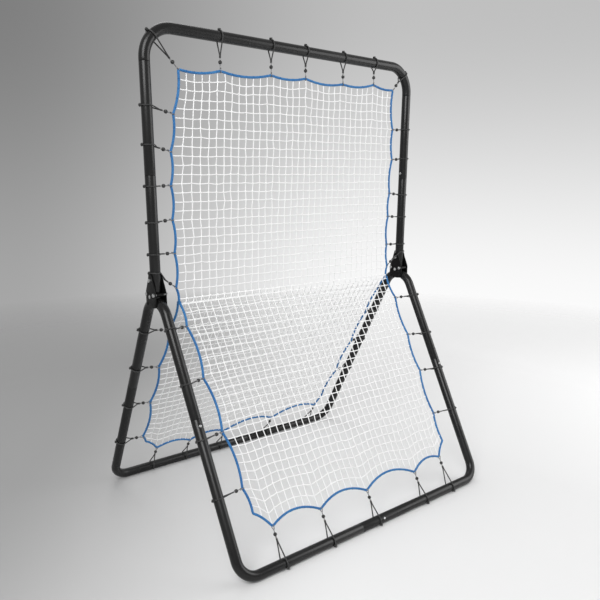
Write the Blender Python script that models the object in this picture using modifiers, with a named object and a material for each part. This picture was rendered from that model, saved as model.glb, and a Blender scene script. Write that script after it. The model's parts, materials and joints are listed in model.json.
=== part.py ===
"""Double sided rebounder: a tube frame with a hinged pair of leg frames and three laced nets.

Frame: metres, +Z up, +X to the user's right, the front leg frame towards -Y.
The origin is on the floor, midway between the two foot bars and the two sides.
The legs are modelled open. Each leg frame folds in about its own pair of pivot pins.
"""
from math import acos, asin, atan2, ceil, cos, pi, radians, sin, sqrt, tan

import bmesh
import bpy
from mathutils import Matrix, Vector

# Overall sizes
HEIGHT = 1.830              # floor to the top of the upper rail
WIDTH = 1.323               # outside to outside of the side tubes
LEG_ANGLE = radians(28.0)   # each leg from the vertical
ARCH_HEIGHT = 0.895         # tube centre line where the two legs of a side would meet
FOLDED_LEAN = radians(1.0)  # what is left of that angle when a leg frame is folded in

# Tube
TUBE_DIAMETER = 0.038
TUBE_WALL = 0.0015
TUBE_SIDES = 12
RAIL_BEND = 0.105           # centre line radii of the bends
FOOT_BEND = 0.070
LEG_BEND = 0.082
BEND_STEPS = 4
SPIGOT_LENGTH = 0.055
SPIGOT_STEP = 0.0015        # length of the taper down to the spigot
RAIL_JOINT_DROP = 0.008     # joint in each side below the end of the rail's bend
UPPER_JOINT_DROP = 0.018   # joint in each side tube below halfway from the arch to the rail
LEG_JOINT_DISTANCE = 0.565  # foot corner to the joint in the leg
FOOT_JOINT_OFFSET = 0.085   # joint in each foot bar, from its middle
FOOT_SPIGOT_LENGTH = 0.140

# Hinge plates and their bolts
PLATE_THICKNESS = 0.003
PLATE_TOP = 0.102           # top of the plate above the arch centre line
PLATE_BOTTOM = 0.014        # bottom of the plate below the arch centre line
PLATE_TIP_HALF = 0.010      # half widths at the tip and the shoulder
PLATE_SHOULDER_HALF = 0.015
PLATE_WIDEST_EDGE = 0.0095  # widest station past the spacer bolts' centres
PLATE_FOOT_EDGE = 0.010     # foot past the pivot pins' centres
PLATE_SHOULDER = 0.084      # heights of the stations above the arch centre line
PLATE_WIDEST = 0.040
PLATE_BENDS = (0.008, 0.018, 0.020, 0.006)  # corner radii from the foot to the tip
CLAMP_HEIGHTS = (0.022, 0.080)
SPACER_CLEARANCE = 0.0035   # between the side tube and a spacer bolt
SPACER_HEIGHT = 0.030
BOLT_DIAMETER = 0.008
BOLT_HEAD_ACROSS = 0.013
BOLT_HEAD_THICKNESS = 0.0053
NUT_THICKNESS = 0.0065
BOLT_PAST_NUT = 0.0015
PIVOT_CLEARANCE = 0.005     # between the side tube and a pivot pin
PIN_DIAMETER = 0.008
PIN_HEAD_DIAMETER = 0.013
PIN_HEAD_THICKNESS = 0.0022
SHANK_SIDES = 8
HOLE_SIDES = 10

# Screws at the tube joints
SCREW_HEAD_DIAMETER = 0.010
SCREW_HEAD_THICKNESS = 0.0025
SCREW_DIAMETER = 0.005
SCREW_SETBACK = 0.025       # screw from the joint line
FOOT_SCREW_SETBACK = 0.115

# Nets, border rope and ties
ROPE_DIAMETER = 0.008
NET_CORD = 0.0045
NET_COLUMNS = 9
NET_ROWS = 6
NET_TO_ROPE = 0.0072
TIE_CORD = 0.0032
TIE_BALL = 0.010
TIE_WIRE = 0.0032
TIE_BALL_FROM_ROPE = 0.030
TIE_ARC_POINTS = 5
TIE_ARC_STEP = radians(60)
ROPE_STEP = 0.050           # longest straight run in the rope

# Where the rope is tied: gaps from the tube's centre line, and places along the tube.
# The ties were made by hand, so they stand a little unevenly.
UPPER_NET_GAPS = (0.080, 0.086, 0.084, 0.084, 0.085, 0.098)
UPPER_TIE_FIRST = 0.052     # lowest side tie, above the upper net's lower edge
UPPER_TIE_LAST = 0.1565     # highest side tie, below the tie in the corner
UPPER_CORNER_GAP = 0.118
RAIL_CORNER_GAP = 0.111
RAIL_NET_GAP = 0.103
RAIL_TIES = (-0.677, -0.238, 0.090, 0.477, 0.827)  # shares of the way to the corner
LEG_NET_GAPS = (0.083, 0.086, 0.092, 0.102)
LEG_TIE_FIRST = 0.088       # highest leg tie, down from the seam
LEG_TIE_LAST = 0.099        # lowest leg tie, from the net's corner
NET_CORNER = (0.118, 0.198)  # lower net's corner: from the leg, and from the foot bar
FOOT_NET_GAP = 0.124
FRONT_FOOT_TIES = (-0.890, -0.470, 0.010, 0.530, 0.895)  # shares of the way to the corner
REAR_FOOT_TIES = (-0.885, -0.541, -0.160, 0.400, 0.930)
SEAM_GAP = 0.090            # rope ends at the seam, from the side tube's centre line
SIDE_SLACK = 0.078          # sag of a scallop over its span
RAIL_SLACK = 0.068
LEG_SLACK = 0.085
FOOT_SLACK = 0.145
UPPER_NET_FOOT = 0.004      # upper net's lower edge above the arch centre line
LOWER_NET_TOP = 0.018       # lower nets' upper edge below the arch centre line
SEAM_OFFSET = 0.010         # lower nets' upper edge from the middle plane

# Clearances
GAP = 0.0003                # between pieces that touch
BOLT_GAP = 0.0004
STOP_GAP = 0.0006

# Derived sizes
RADIUS = TUBE_DIAMETER / 2
FLAT_RADIUS = RADIUS * cos(pi / TUBE_SIDES)
SPIGOT_RADIUS = (RADIUS - TUBE_WALL) * cos(pi / TUBE_SIDES) - GAP
HALF_WIDTH = WIDTH / 2 - RADIUS
RAIL_HEIGHT = HEIGHT - RADIUS
FOOT_HEIGHT = FLAT_RADIUS
ARCH_CENTRE = ARCH_HEIGHT - LEG_BEND
LEG_LINE_TOP = ARCH_CENTRE + LEG_BEND / sin(LEG_ANGLE)
FOOT_SPREAD = (LEG_LINE_TOP - FOOT_HEIGHT) * tan(LEG_ANGLE)
SPACER_OFFSET = RADIUS + SPACER_CLEARANCE + BOLT_DIAMETER / 2
PIVOT_OFFSET = RADIUS + PIVOT_CLEARANCE + PIN_DIAMETER / 2
PIVOT_HEIGHT = ARCH_CENTRE + sqrt(LEG_BEND ** 2 - PIVOT_OFFSET ** 2)
FOLD_ANGLE = LEG_ANGLE - FOLDED_LEAN
RAIL_JOINT_HEIGHT = RAIL_HEIGHT - RAIL_BEND - RAIL_JOINT_DROP
UPPER_JOINT_HEIGHT = (ARCH_HEIGHT + RAIL_HEIGHT) / 2 - UPPER_JOINT_DROP
SIDE_TUBE_FOOT = ARCH_HEIGHT - RADIUS
PLATE_INNER_X = RADIUS + GAP
PLATE_OUTER_X = PLATE_INNER_X + PLATE_THICKNESS
FACET_TURN = LEG_ANGLE - pi / TUBE_SIDES  # turns a foot bar so that it stands on a flat
CUTTER_REACH = 2 * TUBE_DIAMETER

FINISHES = {
    "powder_coat": ((0.030, 0.031, 0.033), 0.42, 0.15),
    "plate_coat": ((0.026, 0.026, 0.028), 0.50, 0.10),
    "zinc": ((0.72, 0.72, 0.70), 0.28, 1.00),
    "blue_rope": ((0.030, 0.155, 0.450), 0.75, 0.00),
    "white_net": ((0.830, 0.830, 0.820), 0.80, 0.00),
}


def clear_scene():
    for obj in list(bpy.data.objects):
        bpy.data.objects.remove(obj, do_unlink=True)


def make_collection(name):
    collection = bpy.data.collections.new(name)
    bpy.context.scene.collection.children.link(collection)
    return collection


def make_finishes():
    finishes = {}
    for name, (colour, roughness, metallic) in FINISHES.items():
        material = bpy.data.materials.new(name)
        material.use_nodes = True
        shader = material.node_tree.nodes["Principled BSDF"]
        shader.inputs["Base Color"].default_value = (*colour, 1.0)
        shader.inputs["Roughness"].default_value = roughness
        shader.inputs["Metallic"].default_value = metallic
        finishes[name] = material
    return finishes


def place(obj, collection, material=None):
    """Links an object to one collection and gives it its material."""
    for old in list(obj.users_collection):
        old.objects.unlink(obj)
    collection.objects.link(obj)
    if material is not None:
        obj.data.materials.clear()
        obj.data.materials.append(material)
    return obj


def shade(obj, angle=50):
    """Smooth, with the edges sharper than the angle kept."""
    obj.data.shade_smooth()
    obj.data.set_sharp_from_angle(angle=radians(angle))


# Curves

def cord_curve(name, points, diameter, resolution, cyclic=False, radii=None, tilt=0.0, caps=True):
    """A round bar or hose along the points, as a curve object."""
    curve = bpy.data.curves.new(name, "CURVE")
    curve.dimensions = "3D"
    curve.bevel_depth = diameter / 2
    curve.bevel_resolution = resolution
    curve.use_fill_caps = caps and not cyclic
    spline = curve.splines.new("POLY")
    spline.points.add(len(points) - 1)
    for index, (point, place_at) in enumerate(zip(spline.points, points)):
        point.co = (*place_at, 1.0)
        point.radius = radii[index] if radii else 1.0
        point.tilt = tilt
    spline.use_cyclic_u = cyclic
    obj = bpy.data.objects.new(name, curve)
    bpy.context.scene.collection.objects.link(obj)
    return obj


def to_mesh(obj, name=None):
    """Turns an object and its modifiers into a plain welded mesh object."""
    depsgraph = bpy.context.evaluated_depsgraph_get()
    mesh = bpy.data.meshes.new_from_object(obj.evaluated_get(depsgraph))
    work = bmesh.new()
    work.from_mesh(mesh)
    bmesh.ops.remove_doubles(work, verts=work.verts, dist=0.00001)
    work.to_mesh(mesh)
    work.free()
    name = name or obj.name
    matrix = obj.matrix_world.copy()
    old = obj.data
    bpy.data.objects.remove(obj, do_unlink=True)
    if isinstance(old, bpy.types.Curve):
        bpy.data.curves.remove(old)
    made = bpy.data.objects.new(name, mesh)
    made.matrix_world = matrix
    bpy.context.scene.collection.objects.link(made)
    return made


def bent_path(corners, bends, steps=BEND_STEPS):
    """Straight runs between the corners, with an arc of the given radius at each inner corner."""
    points = [Vector(corners[0])]
    for before, corner, after, bend in zip(corners, corners[1:], corners[2:], bends):
        corner = Vector(corner)
        back = (Vector(before) - corner).normalized()
        ahead = (Vector(after) - corner).normalized()
        half = back.angle(ahead) / 2
        centre = corner + (back + ahead).normalized() * bend / sin(half)
        start = corner + back * bend / tan(half) - centre
        end = corner + ahead * bend / tan(half) - centre
        axis = start.cross(end).normalized()
        turn = start.angle(end)
        for step in range(steps + 1):
            points.append(centre + Matrix.Rotation(turn * step / steps, 3, axis) @ start)
    points.append(Vector(corners[-1]))
    return points


def tube(name, points, spigot_at_end=0.0, spigot_at_start=0.0, tilt=0.0):
    """A hollow steel tube; an end with a spigot length is drawn down to slide into the next tube."""
    points = [Vector(point) for point in points]
    radii = [1.0] * len(points)
    neck = SPIGOT_RADIUS / RADIUS
    if spigot_at_end:
        outward = (points[-1] - points[-2]).normalized()
        points[-1:] = [points[-1] - outward * SPIGOT_STEP, points[-1], points[-1] + outward * spigot_at_end]
        radii += [neck, neck]
    if spigot_at_start:
        outward = (points[0] - points[1]).normalized()
        points[:1] = [points[0] + outward * spigot_at_start, points[0], points[0] - outward * SPIGOT_STEP]
        radii = [neck, neck] + radii
    curve = cord_curve(name, points, TUBE_DIAMETER, TUBE_SIDES // 2 - 2, radii=radii, tilt=tilt, caps=False)
    wall = curve.modifiers.new("wall", "SOLIDIFY")
    wall.thickness = TUBE_WALL
    wall.offset = -1
    wall.use_even_offset = True
    made = to_mesh(curve)
    shade(made)
    return made


# Cutters

def cut(target, cutter, operation="DIFFERENCE", apply_self=False):
    boolean = target.modifiers.new(cutter.name, "BOOLEAN")
    boolean.operation = operation
    boolean.solver = "EXACT"
    boolean.use_self = apply_self
    boolean.object = cutter


def hide_cutter(obj, cutters):
    place(obj, cutters)
    obj.hide_render = True
    obj.display_type = "WIRE"
    return obj


def bore_cutter(name, centre, axis, radius, length, cutters):
    """A round cutter along an axis, through the centre."""
    bpy.ops.mesh.primitive_cylinder_add(vertices=HOLE_SIDES, radius=radius, depth=length)
    obj = bpy.context.object
    obj.name = name
    obj.matrix_world = Matrix.Translation(centre) @ Vector(axis).to_track_quat("Z", "Y").to_matrix().to_4x4()
    return hide_cutter(obj, cutters)


def block_cutter(name, matrix, size, centre, cutters):
    """A box cutter of the given size, centred at a point of the matrix's own frame."""
    bpy.ops.mesh.primitive_cube_add(size=1)
    obj = bpy.context.object
    obj.name = name
    obj.data.transform(Matrix.Diagonal((*size, 1)))
    obj.data.transform(Matrix.Translation(centre))
    obj.matrix_world = matrix
    return hide_cutter(obj, cutters)


# Frame tubes

def make_upper_tubes(parts, cutters, steel, zinc):
    """The upper rail with its two corners, and two side tubes on each side."""
    corners = [(-HALF_WIDTH, 0, RAIL_JOINT_HEIGHT), (-HALF_WIDTH, 0, RAIL_HEIGHT),
               (HALF_WIDTH, 0, RAIL_HEIGHT), (HALF_WIDTH, 0, RAIL_JOINT_HEIGHT)]
    rail = tube("upper_rail", bent_path(corners, [RAIL_BEND] * 2), SPIGOT_LENGTH, SPIGOT_LENGTH)
    place(rail, parts, steel)
    for side, sign in (("left", -1), ("right", 1)):
        x = sign * HALF_WIDTH
        top = tube("upper_side_tube_" + side,
                   [(x, 0, UPPER_JOINT_HEIGHT + GAP), (x, 0, RAIL_JOINT_HEIGHT - GAP)])
        place(top, parts, steel)
        low = tube("lower_side_tube_" + side,
                   [(x, 0, SIDE_TUBE_FOOT), (x, 0, UPPER_JOINT_HEIGHT)], SPIGOT_LENGTH)
        place(low, parts, steel)
        for index, height in enumerate(CLAMP_HEIGHTS):
            cutter = bore_cutter("clamp_hole_%s_%d" % (side, index), (x, 0, ARCH_HEIGHT + height), (1, 0, 0),
                                 BOLT_DIAMETER / 2 + BOLT_GAP, CUTTER_REACH, cutters)
            cut(low, cutter)
        make_joint_screw("side_joint_screw_" + side, Vector((x, 0, UPPER_JOINT_HEIGHT + SCREW_SETBACK)),
                         Vector((-sign, 0, 0)), (top, low), parts, cutters, zinc)


def leg_direction(front):
    """Unit vector down a leg; front is -1 for the front frame and 1 for the rear one."""
    return Vector((0, front * sin(LEG_ANGLE), -cos(LEG_ANGLE)))


def foot_corner(side, front):
    return Vector((side * HALF_WIDTH, front * FOOT_SPREAD, FOOT_HEIGHT))


def leg_arch(side, front):
    """Centre line of the bent leg top, from near the middle plane to the straight leg."""
    first = asin((RADIUS / 2) / LEG_BEND)
    last = pi / 2 - LEG_ANGLE
    points = []
    for step in range(BEND_STEPS + 2):
        angle = first + (last - first) * step / (BEND_STEPS + 1)
        points.append(Vector((side * HALF_WIDTH, front * LEG_BEND * sin(angle),
                              ARCH_CENTRE + LEG_BEND * cos(angle))))
    return points


def make_leg_frame(word, front, parts, cutters, steel, zinc):
    """Two legs with bent tops and a foot bar in two halves, all in one plane.

    The rear frame is the front one turned about, so the foot bar's spigot changes sides too.
    """
    outward = Vector((0, front * cos(LEG_ANGLE), sin(LEG_ANGLE)))
    bar_joint = front * FOOT_JOINT_OFFSET
    legs = []
    halves = []
    screws = []
    for side_word, side in (("left", -1), ("right", 1)):
        joint = foot_corner(side, front) - leg_direction(front) * LEG_JOINT_DISTANCE
        leg = tube("%s_leg_%s" % (word, side_word), leg_arch(side, front) + [joint], SPIGOT_LENGTH)
        legs.append(place(leg, parts, steel))
        trim_leg_top(leg, side_word, side, front, cutters)
        has_spigot = side == front
        bar_end = Vector((bar_joint if has_spigot else bar_joint - front * GAP,
                          front * FOOT_SPREAD, FOOT_HEIGHT))
        start = joint + leg_direction(front) * GAP
        path = bent_path([start, foot_corner(side, front), bar_end], [FOOT_BEND])
        half = tube("%s_foot_bar_%s" % (word, side_word), path, FOOT_SPIGOT_LENGTH if has_spigot else 0.0,
                    tilt=front * side * FACET_TURN)
        halves.append(place(half, parts, steel))
        screw_at = joint + leg_direction(front) * SCREW_SETBACK
        name = "%s_leg_joint_screw_%s" % (word, side_word)
        screws.append(make_joint_screw(name, screw_at, outward, (leg, half), parts, cutters, zinc))
    centre = Vector((bar_joint - front * FOOT_SCREW_SETBACK, front * FOOT_SPREAD, FOOT_HEIGHT))
    name = word + "_foot_joint_screw"
    screws.append(make_joint_screw(name, centre, outward, halves, parts, cutters, zinc))
    return legs + halves + screws


def trim_leg_top(leg, side_word, side, front, cutters):
    """Cuts the leg's end to the two flats that stop it, and drills it for the pivot pin.

    Open, the upper flat stands against the side tube. Folded, the lower flat does.
    """
    name = "%s_%s" % ("front" if front < 0 else "rear", side_word)
    pivot = Vector((side * HALF_WIDTH, front * PIVOT_OFFSET, PIVOT_HEIGHT))
    size = [CUTTER_REACH] * 3
    reach = PIVOT_OFFSET - RADIUS - STOP_GAP
    centre = (0, -front * (reach + CUTTER_REACH / 2), 0)
    for turn, flat in ((0.0, "open_stop"), (front * FOLD_ANGLE, "folded_stop")):
        matrix = Matrix.Translation(pivot) @ Matrix.Rotation(turn, 4, "X")
        cut(leg, block_cutter("%s_%s" % (flat, name), matrix, size, centre, cutters))
    cut(leg, bore_cutter("pivot_hole_" + name, pivot, (1, 0, 0), PIN_DIAMETER / 2 + BOLT_GAP,
                         CUTTER_REACH, cutters))


# Hinge plates and fasteners

def rounded_outline(points, radii, steps=2):
    """A closed outline with its corners rounded."""
    outline = []
    count = len(points)
    for index in range(count):
        corner = Vector(points[index])
        back = (Vector(points[index - 1]) - corner).normalized()
        ahead = (Vector(points[(index + 1) % count]) - corner).normalized()
        half = back.angle(ahead) / 2
        bend = radii[index]
        centre = corner + (back + ahead).normalized() * bend / sin(half)
        start = corner + back * bend / tan(half) - centre
        end = corner + ahead * bend / tan(half) - centre
        for step in range(steps + 1):
            direction = start.lerp(end, step / steps).normalized()
            outline.append(centre + direction * bend)
    return outline


def plate_outline():
    """Shield outline in the plate's plane: across, then up from the arch centre line."""
    half = [(PIVOT_OFFSET + PLATE_FOOT_EDGE, -PLATE_BOTTOM),
            (SPACER_OFFSET + PLATE_WIDEST_EDGE, PLATE_WIDEST),
            (PLATE_SHOULDER_HALF, PLATE_SHOULDER), (PLATE_TIP_HALF, PLATE_TOP)]
    points = half + [(-across, up) for across, up in reversed(half)]
    return rounded_outline(points, PLATE_BENDS + PLATE_BENDS[::-1])


def ring(centre, radius, count=SHANK_SIDES):
    return [(centre[0] + radius * cos(2 * pi * k / count), centre[1] + radius * sin(2 * pi * k / count))
            for k in range(count)]


def make_plates(parts, coat):
    """Four hinge plates, one on each face of each side's tubes."""
    curve = bpy.data.curves.new("hinge_plate", "CURVE")
    curve.dimensions = "2D"
    curve.fill_mode = "BOTH"
    curve.extrude = PLATE_THICKNESS / 2
    bolt_hole = BOLT_DIAMETER / 2 + BOLT_GAP
    pin_hole = PIN_DIAMETER / 2 + BOLT_GAP
    holes = [ring((0, up), bolt_hole) for up in CLAMP_HEIGHTS]
    for sign in (-1, 1):
        holes.append(ring((sign * SPACER_OFFSET, SPACER_HEIGHT), bolt_hole))
        holes.append(ring((sign * PIVOT_OFFSET, PIVOT_HEIGHT - ARCH_HEIGHT), pin_hole))
    for outline in [plate_outline()] + holes:
        spline = curve.splines.new("POLY")
        spline.points.add(len(outline) - 1)
        for point, (across, up) in zip(spline.points, outline):
            point.co = (across, up, 0, 1)
        spline.use_cyclic_u = True
    blank = bpy.data.objects.new("hinge_plate_blank", curve)
    bpy.context.scene.collection.objects.link(blank)
    blank = to_mesh(blank)
    mesh = blank.data
    bpy.data.objects.remove(blank, do_unlink=True)
    mesh.materials.append(coat)
    upright = Matrix(((0, 0, 1, 0), (1, 0, 0, 0), (0, 1, 0, 0), (0, 0, 0, 1)))
    for side_word, side in (("left", -1), ("right", 1)):
        for face_word, face in (("outer", side), ("inner", -side)):
            plate = bpy.data.objects.new("hinge_plate_%s_%s" % (side_word, face_word), mesh)
            x = side * HALF_WIDTH + face * (PLATE_INNER_X + PLATE_THICKNESS / 2)
            plate.matrix_world = Matrix.Translation((x, 0, ARCH_HEIGHT)) @ upright
            parts.objects.link(plate)


def turned(name, profile):
    """A solid turned about Z from a profile of radius and height, top to bottom."""
    mesh = bpy.data.meshes.new(name)
    work = bmesh.new()
    verts = [work.verts.new((radius, 0, height)) for radius, height in profile]
    for a, b in zip(verts, verts[1:]):
        work.edges.new((a, b))
    work.to_mesh(mesh)
    work.free()
    obj = bpy.data.objects.new(name, mesh)
    bpy.context.scene.collection.objects.link(obj)
    screw = obj.modifiers.new("turn", "SCREW")
    screw.steps = SHANK_SIDES
    screw.render_steps = SHANK_SIDES
    screw.use_merge_vertices = True
    screw.merge_threshold = 0.0001
    made = to_mesh(obj)
    shade(made)
    return made


def bolt_mesh(name, head_across, head_thickness, diameter, length, head_sides=6):
    """A bolt with its head's seat at the origin and its shank along -Z."""
    corner = head_across / 2 / cos(pi / head_sides)
    bpy.ops.mesh.primitive_cylinder_add(vertices=head_sides, radius=corner, depth=head_thickness,
                                        location=(0, 0, head_thickness / 2))
    head = bpy.context.object
    head.name = name
    overlap = head_thickness / 2
    bpy.ops.mesh.primitive_cylinder_add(vertices=SHANK_SIDES, radius=diameter / 2, depth=length + overlap,
                                        location=(0, 0, (overlap - length) / 2))
    shank = bpy.context.object
    for obj in (head, shank):
        obj.data.transform(obj.matrix_world)
        obj.matrix_world = Matrix.Identity(4)
    cut(head, shank, "UNION")
    made = to_mesh(head)
    shade(made)
    bpy.data.objects.remove(shank, do_unlink=True)
    mesh = made.data
    bpy.data.objects.remove(made, do_unlink=True)
    return mesh


def nut_mesh():
    """A hexagon nut, its seat at the origin and its body along +Z."""
    corner = BOLT_HEAD_ACROSS / 2 / cos(pi / 6)
    bpy.ops.mesh.primitive_cylinder_add(vertices=6, radius=corner, depth=NUT_THICKNESS,
                                        location=(0, 0, NUT_THICKNESS / 2))
    nut = bpy.context.object
    nut.data.transform(nut.matrix_world)
    nut.matrix_world = Matrix.Identity(4)
    nut.name = "nut_blank"
    bpy.ops.mesh.primitive_cylinder_add(vertices=SHANK_SIDES, radius=BOLT_DIAMETER / 2 + GAP,
                                        depth=NUT_THICKNESS * 3)
    bore = bpy.context.object
    cut(nut, bore)
    made = to_mesh(nut)
    bpy.data.objects.remove(bore, do_unlink=True)
    mesh = made.data
    bpy.data.objects.remove(made, do_unlink=True)
    return mesh


def domed_head(diameter, thickness, seat):
    """Profile of a low dome from its crown to its rim, the rim at the seat's height."""
    return [(diameter / 2 * sin(k * pi / 4), seat + thickness * cos(k * pi / 4)) for k in range(3)]


def pin_mesh():
    """A riveted pivot pin along Z, domed at both ends, centred on the tube's centre line."""
    seat = PLATE_OUTER_X + GAP
    top = domed_head(PIN_HEAD_DIAMETER, PIN_HEAD_THICKNESS, seat)
    half = top + [(PIN_DIAMETER / 2, seat)]
    pin = turned("pivot_pin_blank", half + [(radius, -height) for radius, height in reversed(half)])
    mesh = pin.data
    bpy.data.objects.remove(pin, do_unlink=True)
    return mesh


def make_hinge_fasteners(parts, zinc, coat):
    """Each hinge has two clamp bolts through the side tube, two spacer bolts and two pivot pins."""
    grip = 2 * (PLATE_OUTER_X + GAP)
    bolt = bolt_mesh("hinge_bolt", BOLT_HEAD_ACROSS, BOLT_HEAD_THICKNESS, BOLT_DIAMETER,
                     grip + NUT_THICKNESS + BOLT_PAST_NUT)
    nut = nut_mesh()
    pin = pin_mesh()
    bolt.materials.append(zinc)
    nut.materials.append(zinc)
    pin.materials.append(coat)
    spots = (("clamp_%s_lower", 0, CLAMP_HEIGHTS[0]), ("clamp_%s_upper", 0, CLAMP_HEIGHTS[1]),
             ("spacer_%s_front", -SPACER_OFFSET, SPACER_HEIGHT),
             ("spacer_%s_rear", SPACER_OFFSET, SPACER_HEIGHT))
    for side_word, side in (("left", -1), ("right", 1)):
        x = side * HALF_WIDTH
        for name, y, up in spots:
            for kind, mesh, face in (("bolt", bolt, side), ("nut", nut, -side)):
                obj = bpy.data.objects.new(name % side_word + "_" + kind, mesh)
                place_at = Matrix.Translation((x + face * (PLATE_OUTER_X + GAP), y, ARCH_HEIGHT + up))
                obj.matrix_world = place_at @ Matrix.Rotation(face * pi / 2, 4, "Y")
                parts.objects.link(obj)
        for word, front in (("front", -1), ("rear", 1)):
            obj = bpy.data.objects.new("pivot_pin_%s_%s" % (side_word, word), pin)
            obj.matrix_world = (Matrix.Translation((x, front * PIVOT_OFFSET, PIVOT_HEIGHT))
                                @ Matrix.Rotation(side * pi / 2, 4, "Y"))
            parts.objects.link(obj)


def make_joint_screw(name, centre, outward, tubes, parts, cutters, zinc):
    """A domed screw through both walls where one tube slides into the next."""
    seat = RADIUS + GAP
    inner = SPIGOT_RADIUS - 2 * TUBE_WALL
    profile = domed_head(SCREW_HEAD_DIAMETER, SCREW_HEAD_THICKNESS, seat)
    profile += [(SCREW_DIAMETER / 2, seat), (SCREW_DIAMETER / 2, inner), (0, inner)]
    screw = turned(name, profile)
    turn = outward.to_track_quat("Z", "Y").to_matrix().to_4x4()
    screw.matrix_world = Matrix.Translation(centre) @ turn
    place(screw, parts, zinc)
    middle = centre + outward * (RADIUS - TUBE_WALL)
    hole = bore_cutter(name + "_hole", middle, outward, SCREW_DIAMETER / 2 + BOLT_GAP,
                       8 * TUBE_WALL, cutters)
    for piece in tubes:
        cut(piece, hole)
    return screw


# Nets and lacing

def scalloped(stations, at, slack):
    """Height of a tied edge at a place along it: stations of place and height, drawn in between."""
    for (start, low), (end, high) in zip(stations, stations[1:]):
        if at <= end:
            break
    share = (at - start) / (end - start)
    sag = slack * (end - start)
    return low + (high - low) * share - 4 * sag * share * (1 - share)


def steps_along(stations):
    """Places along a tied edge for the rope's points, from the first station up to the last."""
    places = []
    for (start, _), (end, _) in zip(stations, stations[1:]):
        count = ceil((end - start) / ROPE_STEP)
        places += [start + (end - start) * k / count for k in range(count)]
    return places


class Panel:
    """One net in its own plane: x across, and reach outward from the seam line.

    The upper panel reaches up to the rail; a lower panel reaches down to its foot bar.
    Side stations are (reach, x) and far stations are (x, reach). Ties are (x, reach, tube
    centre, tube direction).
    """

    def __init__(self, name, seam, outward, side, far, slack, ties):
        self.name = name
        self.seam = Vector(seam)
        self.outward = outward
        self.side = side
        self.far = far
        self.side_slack, self.far_slack = slack
        self.ties = ties

    def point(self, x, reach):
        return self.seam + Vector((x, 0, 0)) + self.outward * reach

    def side_x(self, reach):
        return scalloped(self.side, reach, self.side_slack)

    def far_reach(self, x):
        return scalloped(self.far, x, self.far_slack)

    def rope_points(self):
        """The border rope: out along one side, along the far edge and back down the other."""
        side = [(self.side_x(reach), reach) for reach in steps_along(self.side)]
        far = [(x, self.far_reach(x)) for x in steps_along(self.far)]
        route = [(-x, reach) for x, reach in side] + far + [self.far[-1]] + side[::-1]
        return [self.point(x, reach) for x, reach in route]

    def net_point(self, across, up, inset):
        """Point of the net's patch, both places from 0 to 1, with its edges inside the rope."""
        reach, x = self.side[-1]
        half = self.side_x(reach * up) - inset
        far = self.far_reach(x * (2 * across - 1)) - inset
        return self.point(half * (2 * across - 1), far * up)


def upper_panel():
    """The upright net between the side tubes and the rail."""
    seam = Vector((0, 0, ARCH_HEIGHT + UPPER_NET_FOOT))
    up = Vector((0, 0, 1))
    corner_x = HALF_WIDTH - UPPER_CORNER_GAP
    corner_reach = RAIL_HEIGHT - RAIL_CORNER_GAP - seam.z
    side = [(0.0, HALF_WIDTH - SEAM_GAP)]
    pitch = (corner_reach - UPPER_TIE_FIRST - UPPER_TIE_LAST) / (len(UPPER_NET_GAPS) - 1)
    side += [(UPPER_TIE_FIRST + pitch * k, HALF_WIDTH - gap) for k, gap in enumerate(UPPER_NET_GAPS)]
    side.append((corner_reach, corner_x))
    rail = [(corner_x * share, RAIL_HEIGHT - RAIL_NET_GAP - seam.z) for share in RAIL_TIES]
    far = [(-corner_x, corner_reach)] + rail + [(corner_x, corner_reach)]
    bend = RAIL_BEND * (1 - sqrt(0.5))
    lowest = ARCH_HEIGHT + PLATE_TOP + 2 * TIE_CORD
    ties = []
    for sign in (-1, 1):
        for reach, x in side[1:-1]:
            height = max(seam.z + reach, lowest)
            ties.append((sign * x, reach, Vector((sign * HALF_WIDTH, 0, height)), up))
        centre = Vector((sign * (HALF_WIDTH - bend), 0, RAIL_HEIGHT - bend))
        ties.append((sign * corner_x, corner_reach, centre, Vector((-sign, 0, 1)).normalized()))
    ties += [(x, reach, Vector((x, 0, RAIL_HEIGHT)), Vector((1, 0, 0))) for x, reach in rail]
    return Panel("upper", seam, up, side, far, (SIDE_SLACK, RAIL_SLACK), ties)


def lower_panel(word, front):
    """The sloping net between a pair of legs and their foot bar."""
    seam = Vector((0, front * SEAM_OFFSET, ARCH_HEIGHT - LOWER_NET_TOP))
    foot = Vector((0, front * FOOT_SPREAD, FOOT_HEIGHT))
    length = (foot - seam).length
    outward = (foot - seam).normalized()
    corner_x, corner_reach = HALF_WIDTH - NET_CORNER[0], length - NET_CORNER[1]
    side = [(0.0, HALF_WIDTH - SEAM_GAP)]
    pitch = (corner_reach - LEG_TIE_FIRST - LEG_TIE_LAST) / (len(LEG_NET_GAPS) - 1)
    side += [(LEG_TIE_FIRST + pitch * k, HALF_WIDTH - gap) for k, gap in enumerate(LEG_NET_GAPS)]
    side.append((corner_reach, corner_x))
    shares = FRONT_FOOT_TIES if front < 0 else REAR_FOOT_TIES
    laced = [(corner_x * share, length - FOOT_NET_GAP) for share in shares]
    far = [(-corner_x, corner_reach)] + laced + [(corner_x, corner_reach)]
    down = leg_direction(front)
    ties = []
    for sign in (-1, 1):
        for reach, x in side[1:-1]:
            height = seam.z + outward.z * reach
            centre = foot_corner(sign, front) - down * (height - FOOT_HEIGHT) / -down.z
            ties.append((sign * x, reach, centre, down))
    ties += [(x, reach, Vector((x, foot.y, foot.z)), Vector((1, 0, 0))) for x, reach in laced]
    return Panel(word, seam, outward, side, far, (LEG_SLACK, FOOT_SLACK), ties)


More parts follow.
